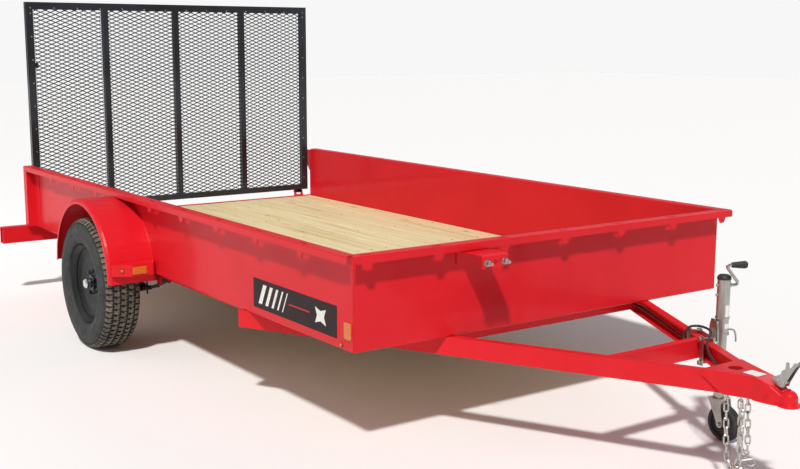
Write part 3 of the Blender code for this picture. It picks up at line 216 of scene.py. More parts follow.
def pine_boards(name, half, board):
    """Treated pine planks: each board its own tone, long grain, growth bands, knots and saw marks."""
    s = Shader(name, rough=0.68)
    axes = s.part(s.coords, 1)
    number = s.math("FLOOR", s.math("DIVIDE", s.math("ADD", axes, half), board))
    chance = s.node("ShaderNodeTexWhiteNoise", "Value", {"W": number}, noise_dimensions="1D")
    shift = s.node("ShaderNodeCombineXYZ", 0, {0: s.math("MULTIPLY", chance, 37.0), 2: chance})
    moved = s.node("ShaderNodeVectorMath", 0, {0: s.coords, 1: shift}, operation="ADD")
    wander = s.noise(1.1, 2.0, 0.5, s.stretched((1.0, 3.0, 1.0), source=moved))
    wave = {"Vector": s.stretched((0.55, 7.5, 1.0), source=moved), "Scale": 2.4}
    wave |= {"Distortion": 6.5, "Detail": 3.0, "Detail Scale": 0.9}
    bands = s.node("ShaderNodeTexWave", "Fac", wave, bands_direction="Y")
    grain = s.noise(1.0, 5.0, 0.62, s.stretched((9.0, 330.0, 60.0), source=moved))
    spots = s.stretched((3.1, 9.5, 1.0), source=moved)
    knot = s.cells("Distance", 1.0, spots)
    cell = s.cells("Color", 1.0, spots)
    pick = s.part(cell, kind="Color")
    rare = s.math("GREATER_THAN", pick, 0.45)
    heart = s.math("MULTIPLY", s.ramp(knot, 0.03, 0.075, 1.0, 0.0), rare)
    halo = s.math("MULTIPLY", s.ramp(knot, 0.05, 0.22, 0.55, 0.0), rare)
    pale, cream, straw = (0.8, 0.73, 0.48), (0.74, 0.6, 0.33), (0.5, 0.34, 0.14)
    colour = s.mix(s.ramp(chance, 0.0, 1.0, 0.0, 0.8), pale, cream)
    colour = s.mix(s.ramp(bands, 0.6, 0.98, 0.0, 0.6), colour, straw)
    colour = s.mix(s.ramp(grain, 0.52, 0.76, 0.0, 0.6), colour, straw)
    streak = s.noise(1.0, 3.0, 0.55, s.stretched((0.9, 26.0, 1.0), source=moved))
    colour = s.mix(s.ramp(streak, 0.5, 0.66, 0.0, 0.55), colour, straw)
    colour = s.mix(s.ramp(wander, 0.5, 0.7, 0.0, 0.4), colour, (0.6, 0.6, 0.33))
    colour = s.mix(halo, colour, (0.42, 0.25, 0.1))
    colour = s.mix(heart, colour, (0.14, 0.07, 0.03))
    s.put("Base Color", colour)
    s.put("Roughness", s.ramp(grain, 0.3, 0.8, 0.6, 0.8))
    s.bump(s.math("ADD", s.math("MULTIPLY", bands, 0.4), grain), 0.0012, 0.35)
    return s.mat


def worn_print(name):
    """Off-white print with faint wear: the blank stickers and the decal's stripes."""
    s = Shader(name, rough=0.42)
    worn = s.ramp(s.noise(45.0, 5.0, 0.7), 0.55, 0.75, 0.0, 0.5)
    s.put("Base Color", s.mix(worn, (0.78, 0.77, 0.72), (0.45, 0.4, 0.36)))
    return s.mat


def grey(value):
    return (value, value, value)


RED = painted(
    "red_paint", (0.62, 0.009, 0.016), (0.4, 0.007, 0.01), (0.68, 0.012, 0.021),
    rough=0.3, coat=0.1, peel=260.0, dust=0.06, gloss=0.14,
)
# the gate's black carries a blue tint, strongest in its lighter drift tone: a painted bluish sheen
BLACK = painted(
    "black_paint", (0.01, 0.011, 0.014), (0.004, 0.004, 0.005), (0.022, 0.026, 0.036),
    rough=0.3, coat=0.35, peel=380.0, dust=0.05,
)
UNDER = painted(
    "black_steel", (0.02, 0.016, 0.015), (0.008, 0.007, 0.007), (0.045, 0.03, 0.025),
    rough=0.55, coat=0.0, peel=200.0, dust=0.5,
)
DISC = painted(
    "wheel_black", grey(0.007), grey(0.004), grey(0.011), rough=0.4, coat=0.06, peel=300.0, dust=0.0
)
# the nuts' black carries a blue tint, strongest in its lighter drift tone: a painted bluish sheen
GLOSS = painted(
    "nut_black", (0.012, 0.013, 0.016), (0.006, 0.006, 0.007), (0.03, 0.034, 0.042),
    rough=0.16, coat=0.5, peel=300.0, dust=0.0,
)
ZINC = zinc_plate("zinc", (0.47, 0.47, 0.44), 0.24)
CHAIN_ZINC = zinc_plate("chain_zinc", (0.6, 0.59, 0.55), 0.2)
TYRE = rubber("tyre_rubber", (0.018, 0.018, 0.019), (0.066, 0.064, 0.06), 0.6)
TREAD = rubber("tread_rubber", (0.075, 0.065, 0.05), (0.23, 0.195, 0.14), 0.95, 0.85)
# block sides in the grooves: rubber darker than the rest of the tyre, a painted shade
GROOVE_SHADE = rubber("groove_painted_shade", grey(0.01), (0.03, 0.028, 0.024), 0.6, 0.85)
GRIP = rubber("grip_rubber", (0.012, 0.012, 0.013), grey(0.06), 0.45, 0.5)
AMBER = lens("amber_lens", (0.86, 0.22, 0.006), (0.5, 0.095, 0.003))
RED_LENS = lens("red_lens", (0.6, 0.012, 0.01), (0.26, 0.004, 0.004))
LABEL = worn_print("blank_label")
STRIPE = worn_print("decal_stripe")
PVC = rubber("cable_jacket", (0.013, 0.013, 0.014), (0.055, 0.053, 0.05), 0.5, 0.42)


def decal_vinyl():
    """Dark maroon vinyl, slightly faded, behind the stripes, line and star."""
    s = Shader("decal_vinyl", rough=0.5)
    s.put("Specular IOR Level", 0.25)
    fade = s.ramp(s.noise(18.0, 4.0), 0.3, 0.7)
    s.put("Base Color", s.mix(fade, (0.012, 0.003, 0.004), (0.022, 0.005, 0.006)))
    return s.mat


DECAL = decal_vinyl()
CAP_FROM = TRACK + DISC_AT + 0.022  # where the dust cap starts, from the trailer's middle


def hub_finish(cap_from):
    """Black barrel with a bright zinc dust cap outboard of a distance from the middle."""
    s = Shader("hub_steel")
    across = s.math("ABSOLUTE", s.part(s.coords, 1))
    bright = s.ramp(across, cap_from, cap_from + 0.0008)
    scuff = s.noise(90.0, 4.0, 0.6)
    zinc = s.mix(s.ramp(scuff, 0.35, 0.7), (0.8, 0.8, 0.78), (0.58, 0.57, 0.54))
    s.put("Base Color", s.mix(bright, (0.01, 0.012, 0.016), zinc))
    s.put("Metallic", bright)
    s.put("Roughness", s.ramp(scuff, 0.3, 0.7, 0.16, 0.34))
    s.bump(scuff, 0.0003, 0.2)
    return s.mat


HUB = hub_finish(CAP_FROM)


# looks of the record's slots, and the slot of each look in turn
FINISH = {
    "red_paint": RED, "black_paint": BLACK, "black_steel": UNDER, "zinc": ZINC, "tyre_rubber": TYRE,
    "grip_rubber": GRIP, "wheel_steel": DISC, "red_lens": RED_LENS, "cable_jacket": PVC,
}
SLOTS = {look: slot for slot, look in FINISH.items()}
SLOTS |= {CHAIN_ZINC: "zinc", TREAD: "tyre_rubber", GLOSS: "wheel_steel"}

# ---- mesh helpers
def piece(name, verts, faces, mats, body, smooth, replaces):
    """A mesh object in the row frame, with its materials and body set."""
    mesh = bpy.data.meshes.new(name)
    mesh.from_pydata([tuple(v) for v in verts], [], faces)
    made = bmesh.new()
    made.from_mesh(mesh)
    bmesh.ops.remove_doubles(made, verts=made.verts, dist=1e-6)
    bmesh.ops.recalc_face_normals(made, faces=made.faces)
    made.to_mesh(mesh)
    made.free()
    for face in mesh.polygons:
        face.use_smooth = smooth
    for mat in mats:
        mesh.materials.append(mat)
    obj = placed(name, mesh)
    if smooth:
        sharpen(obj)
    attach(obj, body)
    if replaces:
        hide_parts(*replaces)
    return obj


def sharpen(obj, degrees=35.0):
    """Keeps creases above an angle sharp on a smooth-shaded mesh."""
    made = bmesh.new()
    made.from_mesh(obj.data)
    for edge in made.edges:
        if len(edge.link_faces) == 2:
            edge.smooth = edge.calc_face_angle(0.0) < radians(degrees)
    made.to_mesh(obj.data)
    made.free()


class Build:
    """Gathers several closed shapes into one mesh."""

    def __init__(self):
        self.verts, self.faces = [], []

    def add(self, verts, faces):
        start = len(self.verts)
        self.verts += [Vector(v) for v in verts]
        self.faces += [tuple(i + start for i in f) for f in faces]
        return self

    def loft(self, rings, closed=False):
        """Skins rings of points; the ends are capped unless the last ring meets the first."""
        n = len(rings[0])
        verts = [p for ring in rings for p in ring]
        faces = []
        count = len(rings) if closed else len(rings) - 1
        for k in range(count):
            a, b = k * n, (k + 1) % len(rings) * n
            faces += [(a + i, a + (i + 1) % n, b + (i + 1) % n, b + i) for i in range(n)]
        if not closed:
            faces.append(tuple(range(n))[::-1])
            faces.append(tuple((len(rings) - 1) * n + i for i in range(n)))
        return self.add(verts, faces)

    def slab(self, outline, at, axis, inset=0.0):
        """An outline in a plane, as thick as at says; inset narrows both rims for a soft edge."""
        u, v, w = axis
        centre = [sum(c) / len(outline) for c in zip(*outline)]
        rings = []
        steps = [(at[0], inset), (at[0] + inset, 0.0), (at[1] - inset, 0.0), (at[1], inset)]
        for level, cut in steps if inset else [(at[0], 0.0), (at[1], 0.0)]:
            ring = []
            for a, b in outline:
                far = hypot(a - centre[0], b - centre[1])
                k = 1 - cut / far
                ring.append(
                    u * (centre[0] + (a - centre[0]) * k) + v * (centre[1] + (b - centre[1]) * k) + w * level
                )
            rings.append(ring)
        return self.loft(rings)

    def tube(self, points, radius, sides=8, closed=False):
        """A round bar along points; radius is one number or one per point."""
        pts = [Vector(p) for p in points]
        radii = radius if isinstance(radius, (list, tuple)) else [radius] * len(pts)
        normal = None
        rings = []
        n = len(pts)
        for k, p in enumerate(pts):
            before = pts[k - 1] if closed or k else p
            after = pts[(k + 1) % n] if closed or k < n - 1 else p
            along = (after - before).normalized()
            if normal is None:
                probe = Vector((0, 0, 1)) if abs(along.z) < 0.9 else Vector((0, 1, 0))
                normal = along.cross(probe).normalized()
            normal = (normal - along * normal.dot(along)).normalized()
            side = along.cross(normal)
            rings.append(
                [
                    p + radii[k] * (cos(a) * normal + sin(a) * side)
                    for a in (2 * pi * i / sides for i in range(sides))
                ]
            )
        return self.loft(rings, closed=closed)

    def spin(self, outline, centre, axis, steps=48):
        """Turns a closed (along, radius) outline that stays off the axis, as a ring."""
        w = Vector(axis).normalized()
        u = w.cross(Vector((0.3, 0.4, 0.86))).normalized()
        v = w.cross(u)
        rings = []
        for i in range(steps):
            a = 2 * pi * i / steps
            out = cos(a) * u + sin(a) * v
            rings.append([Vector(centre) + s * w + r * out for s, r in outline])
        return self.loft(rings, closed=True)

    def button(self, outline, centre, axis, steps=24):
        """Turns an open profile with an end cap on each side: bolts, nuts, lenses."""
        w = Vector(axis).normalized()
        u = w.cross(Vector((0.31, 0.42, 0.86))).normalized()
        v = w.cross(u)
        rings = []
        for s, r in outline:
            ring = []
            for i in range(steps):
                a = 2 * pi * i / steps
                ring.append(Vector(centre) + s * w + max(r, 1e-4) * (cos(a) * u + sin(a) * v))
            rings.append(ring)
        return self.loft(rings)

    def make(self, name, mat, body="trailer", slot=None, smooth=False, replaces=()):
        mats = mat if isinstance(mat, tuple) else (mat,)
        slot = slot or SLOTS.get(mats[0])
        return piece(name, self.verts, self.faces, mats, body, smooth, replaces)


X, Y, Z = Vector((1, 0, 0)), Vector((0, 1, 0)), Vector((0, 0, 1))


def rounded(u, v, r, steps=4):
    """A rectangle's outline with round corners; u and v are its (low, high) pairs."""
    pts = []
    corners = (
        (u[1] - r, v[1] - r, 0), (u[0] + r, v[1] - r, 90), (u[0] + r, v[0] + r, 180),
        (u[1] - r, v[0] + r, 270),
    )
    for cu, cv, start in corners:
        for k in range(steps + 1):
            a = radians(start + 90 * k / steps)
            pts.append((cu + r * cos(a), cv + r * sin(a)))
    return pts


def between(a, b, count):
    """Points evenly spaced from a to b."""
    return [Vector(a).lerp(Vector(b), k / (count - 1)) for k in range(count)]


BEAD_PITCH = 0.006


def bead(build, a, b, radius):
    """A weld bead: a lumpy bar from a to b."""
    path = between(a, b, max(3, round((Vector(b) - Vector(a)).length / BEAD_PITCH)))
    radii = [radius * rng.uniform(0.72, 1.12) for _ in path]
    build.tube(path, radii, 6)


def leg_outer(x):
    """Outer face of a tongue leg from the middle, at a world x."""
    return LEG_Y - tan(LEG_ANGLE) * (x - FRONT_X)


# ---- carried CAD nodes
for row in frame["record"]["subparts"]:
    node = nodes[row["node"]]
    node.data.materials.clear()
    node.data.materials.append(FINISH.get(row["material_slot"], RED))  # the deck gets its planks below

for word, _ in SIDES:
    nodes["hub_" + word].data.materials[0] = HUB

# ---- lighting cable
CABLE_R = 0.005
CABLE_SPAN = 6  # curve points to each point of the route
ROUTE = [  # from the axle, along the left leg and past the jack
    (2.158, 0.56, 0.4), (2.2, 0.56, 0.395), (2.3, 0.519, 0.388), (2.45, 0.441, 0.384), (2.6, 0.362, 0.382),
    (2.68, 0.312, 0.385), (2.722, 0.262, 0.4), (2.738, 0.238, 0.432), (2.748, 0.254, 0.46),
    (2.775, 0.277, 0.466),
    (2.812, 0.281, 0.464), (2.848, 0.262, 0.462), (2.878, 0.226, 0.456), (2.902, 0.184, 0.445),
    (2.932, 0.146, 0.428),
    (2.975, 0.115, 0.41), (3.035, 0.08, 0.4), (3.11, 0.045, 0.396), (3.19, 0.02, 0.392),
]


def smooth_route(points, per_span):
    """Points on a smooth curve through the given ones."""
    pts = [Vector(p) for p in points]
    pts = [2 * pts[0] - pts[1]] + pts + [2 * pts[-1] - pts[-2]]
    out = []
    for a, b, c, d in zip(pts, pts[1:], pts[2:], pts[3:]):
        for k in range(per_span):
            t = k / per_span
            bend = (2 * a - 5 * b + 4 * c - d) * t * t
            twist = (3 * b - a - 3 * c + d) * t ** 3
            out.append(0.5 * (2 * b + (c - a) * t + bend + twist))
    out.append(pts[-2])
    return out


route = smooth_route([(AXLE_X + x, y, z) for x, y, z in ROUTE], CABLE_SPAN)
curve = bpy.data.curves.new("lighting_cable_run", "CURVE")
curve.dimensions = "3D"
curve.bevel_depth = CABLE_R
curve.bevel_resolution = 3
curve.use_fill_caps = True
spline = curve.splines.new("POLY")
spline.points.add(len(route) - 1)
for point, p in zip(spline.points, route):
    point.co = (*p, 1.0)
spline.use_smooth = True
curve.materials.append(PVC)
cable = placed("lighting_cable_run", curve)
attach(cable, "trailer")
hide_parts("lighting_cable")

# ---- plank deck
BOARDS = 11
BOARD_GAP = 0.0016  # half the gap between planks
BOARD_ROUND, BOARD_END = 0.0035, 0.0015  # rounding of a plank's long edges and of its ends
SCREWED_MEMBERS = 5  # crossmembers under the planks
SCREW_AT = (0.24, 0.76)  # screws across a plank
SCREW = [(-0.002, 0.004), (0.0002, 0.0043), (0.0008, 0.003)]
deck_lo, deck_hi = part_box("deck")
deck_half = deck_hi.y
board = 2 * deck_half / BOARDS
PINE = pine_boards("pine", deck_half, board)
planks = Build()
for k in range(BOARDS):
    y0 = -deck_half + k * board + (BOARD_GAP if k else 0.0)
    y1 = -deck_half + (k + 1) * board - (BOARD_GAP if k < BOARDS - 1 else 0.0)
    top = deck_hi.z - rng.uniform(0.0, 0.0012)
    outline = rounded((y0, y1), (deck_lo.z + 0.0002, top), BOARD_ROUND, 3)
    ends = (deck_lo.x + rng.uniform(0, 0.002), deck_hi.x - rng.uniform(0, 0.002))
    planks.slab(outline, ends, (Y, Z, X), BOARD_END)
planks.make("deck_planks", PINE, slot="pine", replaces=["deck"])

screws = Build()
for k in range(1, SCREWED_MEMBERS + 1):
    low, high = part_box(f"crossmember_{k}")
    for n in range(BOARDS):
        for share in SCREW_AT:
            y = -deck_half + (n + share) * board
            x = ((low + high) / 2).x + rng.uniform(-0.006, 0.006)
            screws.button(SCREW, (x, y, deck_hi.z), Z, 10)
screws.make("deck_screws", UNDER)

# ---- gate
GATE_SIDE, GATE_BAR, GATE_FOOT = 0.045, 0.036, 0.036  # widths of the frame's tubes
COLUMNS, ROWS, BAYS = 32, 52, 4
STRAND = 0.0029  # half width of a strand
TILT, HALF_T = 0.0008, 0.001  # how far a strand leans, and half its thickness
LEAN = (0.0, TILT, 0.0, -TILT)
mesh_lo, mesh_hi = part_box("gate_mesh")
long_d = (mesh_hi.y - mesh_lo.y) / COLUMNS
short_d = (mesh_hi.z - mesh_lo.z) / ROWS
x_mid = (mesh_lo.x + mesh_hi.x) / 2
strand = STRAND * hypot(long_d, short_d)


def diamond(half_y, half_z):
    """Corners of one opening of the expanded mesh, or of the strands round it."""
    return [(half_y, 0.0), (0.0, half_z), (-half_y, 0.0), (0.0, -half_z)]


outer = diamond(long_d / 2, short_d / 2)
inner = diamond(long_d / 2 - strand / short_d, short_d / 2 - strand / long_d)
diamond_faces = []
for i in range(4):
    j = (i + 1) % 4
    diamond_faces += [(i, j, 4 + j, 4 + i), (8 + j, 8 + i, 12 + i, 12 + j), (4 + i, 4 + j, 12 + j, 12 + i)]
net = Build()
for row in range(1, 2 * ROWS):
    for col in range(COLUMNS + 1):
        cy = mesh_lo.y + (col + 0.5 * (row % 2)) * long_d
        cz = mesh_lo.z + row * short_d / 2
        if cy - long_d / 2 < mesh_lo.y - 1e-6 or cy + long_d / 2 > mesh_hi.y + 1e-6:
            continue
        verts = []
        for level in (x_mid + HALF_T, x_mid - HALF_T):
            verts += [(level, cy + a, cz + b) for a, b in outer]
            verts += [(level + t, cy + a, cz + b) for (a, b), t in zip(inner, LEAN)]
        net.add(verts, diamond_faces)
net.make("gate_expanded_mesh", BLACK, "ramp_gate", replaces=["gate_mesh"])

RIVET = [(-0.001, 0.0045), (0.0, 0.0045), (0.0012, 0.004), (0.002, 0.0022)]
RIVET_IN, RIVET_DOWN = 0.03, 0.036  # rivets in from the frame's sides and down from its top
RIVETS_UP, RIVETS_ACROSS = 9, 14
FIRST_RIVET, RIVET_PITCH = 0.09, 0.145
gate_lo, gate_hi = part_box("gate_frame")
gate_foot = JOINTS["gate_hinge"]["pos_m"][2] + 0.015  # underside of the bottom tube
rivets = Build()
for k in range(RIVETS_UP):
    z = gate_foot + FIRST_RIVET + k * RIVET_PITCH
    for y in (gate_lo.y + RIVET_IN, gate_hi.y - RIVET_IN):
        rivets.button(RIVET, (gate_hi.x, y, z), X, 10)
for k in range(RIVETS_ACROSS):
    y = gate_lo.y + RIVET_IN + k * (gate_hi.y - gate_lo.y - 2 * RIVET_IN) / (RIVETS_ACROSS - 1)
    rivets.button(RIVET, (gate_hi.x, y, gate_hi.z - RIVET_DOWN), X, 10)
rivets.make("gate_mesh_rivets", ZINC, "ramp_gate")

gate_welds = Build()
pitch = (gate_hi.y - gate_lo.y - GATE_SIDE) / BAYS
inside_z = (gate_foot + GATE_FOOT, gate_hi.z - GATE_SIDE)
for k in range(1, BAYS):
    y = gate_lo.y + GATE_SIDE / 2 + k * pitch
    for z in inside_z:
        for edge in (y - GATE_BAR / 2, y + GATE_BAR / 2):
            bead(gate_welds, (gate_hi.x - 0.004, edge, z), (gate_hi.x - 0.032, edge, z), 0.0022)
        bead(gate_welds, (gate_hi.x, y - 0.017, z), (gate_hi.x, y + 0.017, z), 0.0016)
for y in (gate_lo.y, gate_hi.y - GATE_SIDE):
    for z in inside_z:
        bead(gate_welds, (gate_hi.x, y + 0.002, z), (gate_hi.x, y + 0.043, z), 0.0018)
gate_welds.make("gate_welds", BLACK, "ramp_gate", smooth=True)

TAB_OUT, TAB_Z = (0.044, 0.07), (1.425, 1.457)  # latch tab, in from the gate's right edge
tab = Build()
tab_y = (gate_lo.y + TAB_OUT[0], gate_lo.y + TAB_OUT[1])
tab.slab(rounded(tab_y, TAB_Z, 0.003), (gate_hi.x - 0.018, gate_hi.x - 0.014), (Y, Z, X))
tab.make("gate_tab", BLACK, "ramp_gate")

# ---- tyres
PITCHES = 66
BELT = [(0.0, 0.343), (0.035, 0.3421), (0.06, 0.3405), (0.075, 0.3372), (0.088, 0.3285), (0.0945, 0.315)]


def belt_radius(w):
    """Tyre radius at a distance from its middle plane."""
    w = abs(w)
    for (a, r0), (b, r1) in zip(BELT, BELT[1:]):
        if w <= b:
            return r0 + (r1 - r0) * (w - a) / (b - a)
    return BELT[-1][1]


SIDEWALL = [
    (-0.069, 0.1933), (0.069, 0.1933), (0.0742, 0.2085), (0.08, 0.2125), (0.0885, 0.214), (0.0935, 0.22),
    (0.0985, 0.233), (0.1015, 0.248), (0.1022, 0.26), (0.1022, 0.2606), (0.1008, 0.2612), (0.1008, 0.264),
    (0.102, 0.2646), (0.1016, 0.276), (0.1004, 0.286), (0.0985, 0.2975), (0.0992, 0.2985), (0.0992, 0.3015),
    (0.0972, 0.3025), (0.0935, 0.312), (0.087, 0.3215), (0.076, 0.3285), (0.06, 0.3325), (0.035, 0.3345),
    (0.0, 0.3352),
]
CARCASS = SIDEWALL + [(-s, r) for s, r in SIDEWALL[:1:-1]][1:]
BLOCK_ROWS = (  # inner and outer edge, shift in pitches, and whether a shoulder
    (-0.0925, -0.0595, 0.5, True),
    (-0.0535, -0.022, 0.0, False),
    (-0.016, 0.016, 0.5, False),
    (0.022, 0.0535, 0.0, False),
    (0.0595, 0.0925, 0.5, True),
)
SIPE = 0.27  # share of a pitch that is groove
ROW_LEAN, SHOULDER_LEAN = 0.22, 0.1  # zigzag of a block's ends, in pitches
NOTCH_SHARE = 0.13  # zigzag of its sides, as a share of its width
BLOCK_LEVELS = ((0.0, 0.9), (0.0012, 1.0), (0.0105, 1.03))  # depth, and how wide a block is there


def tread_blocks(build, centre, side):
    """Chunky zigzag blocks in five rows, each wrapped onto the crown."""
    for w0, w1, phase, shoulder in BLOCK_ROWS:
        for k in range(PITCHES):
            a0 = k + phase
            lean = SHOULDER_LEAN if shoulder else ROW_LEAN
            half = 0.5 - SIPE / 2
            mid = (w0 + w1) / 2
            notch = (w1 - w0) * NOTCH_SHARE
            top = [
                (a0 - half, w0), (a0 - half * 0.1, w0 + notch), (a0 + half - lean * 0.3, w0),
                (a0 + half, mid - notch), (a0 + half - lean, mid + notch * 0.6), (a0 + half, w1),
                (a0 + half * 0.1, w1 - notch), (a0 - half + lean * 0.3, w1),
                (a0 - half, mid + notch), (a0 - half - lean, mid - notch * 0.6),
            ]
            if shoulder:
                outer = w0 if abs(w0) > abs(w1) else w1
                top = [(a, outer if abs(w - outer) < notch * 1.01 else w) for a, w in top]
            rings = []
            for depth, grow in BLOCK_LEVELS:
                ring = []
                for a, w in top:
                    a = a0 + (a - a0) * grow
                    w = mid + (w - mid) * (grow if depth < 0.005 else 1.0)
                    r = belt_radius(w) - depth
                    t = 2 * pi * a / PITCHES
                    ring.append(Vector(centre) + Vector((r * cos(t), side * w, r * sin(t))))
                rings.append(ring)
            build.loft(rings)


# dish wheel: (outboard, radius) points from the inner bead round the back and out over the front
RIM_EDGE = [(0.069, 0.1922), (0.0746, 0.2062), (0.0788, 0.2082), (0.0815, 0.2046), (0.0775, 0.201)]
DISH = [
    (-0.022, 0.1805), (-0.004, 0.17), (0.0035, 0.15), (0.004, 0.128), (-0.001, 0.108), (-0.0065, 0.088),
    (-0.006, 0.0425), (0.0, 0.0425), (0.0, 0.086), (0.0045, 0.106), (0.0095, 0.126), (0.0095, 0.15),
    (0.0105, 0.166), (0.013, 0.176), (0.018, 0.1812),
]
WHEEL_OUTLINE = [(-s, radius) for s, radius in RIM_EDGE] + [(-0.07, 0.1862), (-0.04, 0.18)]
WHEEL_OUTLINE += [(DISC_AT + s, radius) for s, radius in DISH]
WHEEL_OUTLINE += [(0.06, 0.18), (0.067, 0.185)] + RIM_EDGE[::-1]
LUGS, LUG_CIRCLE, FIRST_LUG = 5, 0.0572, 108
LUG_NUT = (  # washer, hexagon and domed end, each with its sides
    ([(0.0, 0.0115), (0.001, 0.012), (0.004, 0.0108)], 20),
    ([(0.003, 0.0105), (0.015, 0.0105), (0.0165, 0.0088)], 6),
    ([(0.0165, 0.008), (0.0205, 0.0068), (0.0225, 0.0035), (0.0228, 0.001)], 16),
)
VALVE = [(0.0, 0.0045), (0.012, 0.004), (0.013, 0.0032), (0.026, 0.0032), (0.027, 0.0024)]
VALVE_R, VALVE_TURN = 0.165, 0.6  # where the valve stands on the disc
TREAD_FACING = 0.62  # faces turned outward more than this are the dusty worn tops; the block sides get the darker rubber, a painted shade


def polar(radius, angle):
    """A point in the wheel's plane."""
    return Vector((radius * cos(angle), 0, radius * sin(angle)))


for word, side in SIDES:
    centre = Vector((AXLE_X, side * TRACK, WHEEL_R))
    body = "wheel_" + word
    carcass = Build()
    carcass.spin(CARCASS, centre, Y * side, 96)
    carcass.make("tyre_carcass_" + word, TYRE, body, smooth=True, replaces=["tyre_" + word])
    blocks = Build()
    tread_blocks(blocks, centre, side)
    tread = blocks.make("tyre_tread_" + word, (TREAD, GROOVE_SHADE), body)
    # outward faces get the dusty tread rubber; block sides get the darker rubber as painted shade
    for face in tread.data.polygons:
        spoke = face.center - centre
        spoke.y = 0.0
        face.material_index = 0 if face.normal.dot(spoke.normalized()) > TREAD_FACING else 1

    disc = Build()
    disc.spin(WHEEL_OUTLINE, centre, Y * side, 72)
    disc.make("wheel_disc_" + word, DISC, body, smooth=True, replaces=["rim_" + word])

    nuts = Build()
    for k in range(LUGS):
        at = centre + polar(LUG_CIRCLE, radians(FIRST_LUG + 360 / LUGS * k)) + Y * side * (DISC_AT + 0.0006)
        for profile, sides in LUG_NUT:
            nuts.button(profile, at, Y * side, sides)
    nuts.make("lug_nuts_" + word, GLOSS, body, smooth=True)
    valve = Build()
    valve.button(VALVE, centre + polar(VALVE_R, VALVE_TURN) + Y * side * (DISC_AT + 0.004), Y * side, 14)
    valve.make("valve_stem_" + word, GRIP, body, smooth=True)

# ---- lamps and reflectors
REFLECTOR_X, REFLECTOR_Z = (AXLE_X + 2.169, AXLE_X + 2.217), (0.477, 0.545)
FRONT_MARKER = (AXLE_X + 2.143, 0.447)  # x and z of the small marker beside it
FRONT_MARKER_R, FENDER_MARKER_R = 0.0085, 0.0095
SLOPE_BACK, SLOPE_Y = 0.046, (1.256, 1.175)  # lamp box's slanted face: its length and its edges
BOX_REFLECTOR_Y, BOX_REFLECTOR_HALF = (1.171, 1.097), 0.019
LENS_IN, RING_IN = 0.006, 0.003  # tail lens and grommet, in from the lamp's edges


def round_marker(name, at, out, radius):
    """A small round marker lamp: black grommet and a domed amber lens."""
    rim = Build()
    profile = [(0.0, radius * 1.14), (0.002, radius * 1.14), (0.0035, radius * 1.02), (0.003, radius * 0.9)]
    rim.button(profile, at, out, 28)
    rim.make(name + "_grommet", GRIP, smooth=True)
    profile = [(0.0, radius * 0.95)]
    for t in map(radians, range(0, 90, 15)):
        profile.append((0.003 + 0.006 * sin(t), radius * 0.92 * cos(t)))
    Build().button(profile + [(0.009, 0.0005)], at, out, 28).make(name + "_lens", AMBER, smooth=True)


def on_wall(side, low, high):
    """A slab's two faces, these distances out from a side wall."""
    return sorted((side * (WALL_Y + low), side * (WALL_Y + high)))


for word, side in SIDES:
    reflector = Build()
    reflector.slab(
        rounded(REFLECTOR_X, REFLECTOR_Z, 0.006, 5), on_wall(side, 0.0002, 0.0067), (X, Z, Y), 0.0018,
    )
    reflector.make("front_reflector_" + word, AMBER)
    at = Vector((FRONT_MARKER[0], side * (WALL_Y + 0.0002), FRONT_MARKER[1]))
    round_marker("front_marker_" + word, at, Y * side, FRONT_MARKER_R)

    box_lo, box_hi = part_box("lamp_box_" + word)
    z_mid = (box_lo.z + box_hi.z) / 2
    slope_a = Vector((box_hi.x - SLOPE_BACK, side * SLOPE_Y[0], z_mid))
    slope_b = Vector((box_hi.x, side * SLOPE_Y[1], z_mid))
    run = (slope_b - slope_a).normalized()
    facing = Vector((-run.y * side, run.x * side, 0))
    at = (slope_a + slope_b) / 2 + facing * 0.0003
    round_marker("fender_marker_" + word, at, facing, FENDER_MARKER_R)
    patch = Build()
    z_pair = (z_mid - BOX_REFLECTOR_HALF, z_mid + BOX_REFLECTOR_HALF)
    outline = rounded(sorted(side * y for y in BOX_REFLECTOR_Y), z_pair, 0.003)
    patch.slab(outline, (box_hi.x + 0.0003, box_hi.x + 0.0055), (Y, Z, X), 0.0015)
    patch.make("fender_reflector_" + word, AMBER)

    lamp_lo, lamp_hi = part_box("tail_lamp_" + word)
    y_pair, z_pair = [(lamp_lo[k] + LENS_IN, lamp_hi[k] - LENS_IN) for k in (1, 2)]
    outline = rounded(y_pair, z_pair, (z_pair[1] - z_pair[0]) / 2 - 0.0001, 10)
    lamp_lens = Build()
    lamp_lens.slab(outline, (lamp_lo.x + 0.0004, lamp_hi.x - 0.001), (Y, Z, X), 0.003)
    lamp_lens.make("tail_lens_" + word, RED_LENS, smooth=True)
    y_pair, z_pair = [(lamp_lo[k] + RING_IN, lamp_hi[k] - RING_IN) for k in (1, 2)]
    ring = Build()
    ring.tube([(lamp_hi.x - 0.0055, y, z) for y, z in rounded(y_pair, z_pair, 0.0265, 10)], 0.0032, 8, True)
    ring.make("tail_grommet_" + word, GRIP, smooth=True, replaces=["tail_lamp_" + word])

# ---- body side details
LAP_X, LAP_Z = (AXLE_X + 2.162, FRONT_X - 0.001), (0.4325, 0.779)
DECAL_X, DECAL_Z = (AXLE_X + 1.433, AXLE_X + 2.111), (0.465, 0.594)
STRIPES = ((1.5, 0.03), (1.56, 0.024), (1.614, 0.018), (1.662, 0.012), (1.704, 0.007))
STRIPE_Z, STRIPE_LEAN = (0.487, 0.574), 0.022
LINE_X, LINE_Z = (AXLE_X + 1.74, AXLE_X + 1.905), (0.5275, 0.5325)
STAR_AT, STAR_HALF, STAR_WAIST = (AXLE_X + 1.99, 0.53), (0.058, 0.046), 0.45


def rectangle(u, v, lean=0.0):
    """A rectangle's outline, its top edge shifted against its bottom edge."""
    return [(u[0] + lean, v[0]), (u[1] + lean, v[0]), (u[1] - lean, v[1]), (u[0] - lean, v[1])]


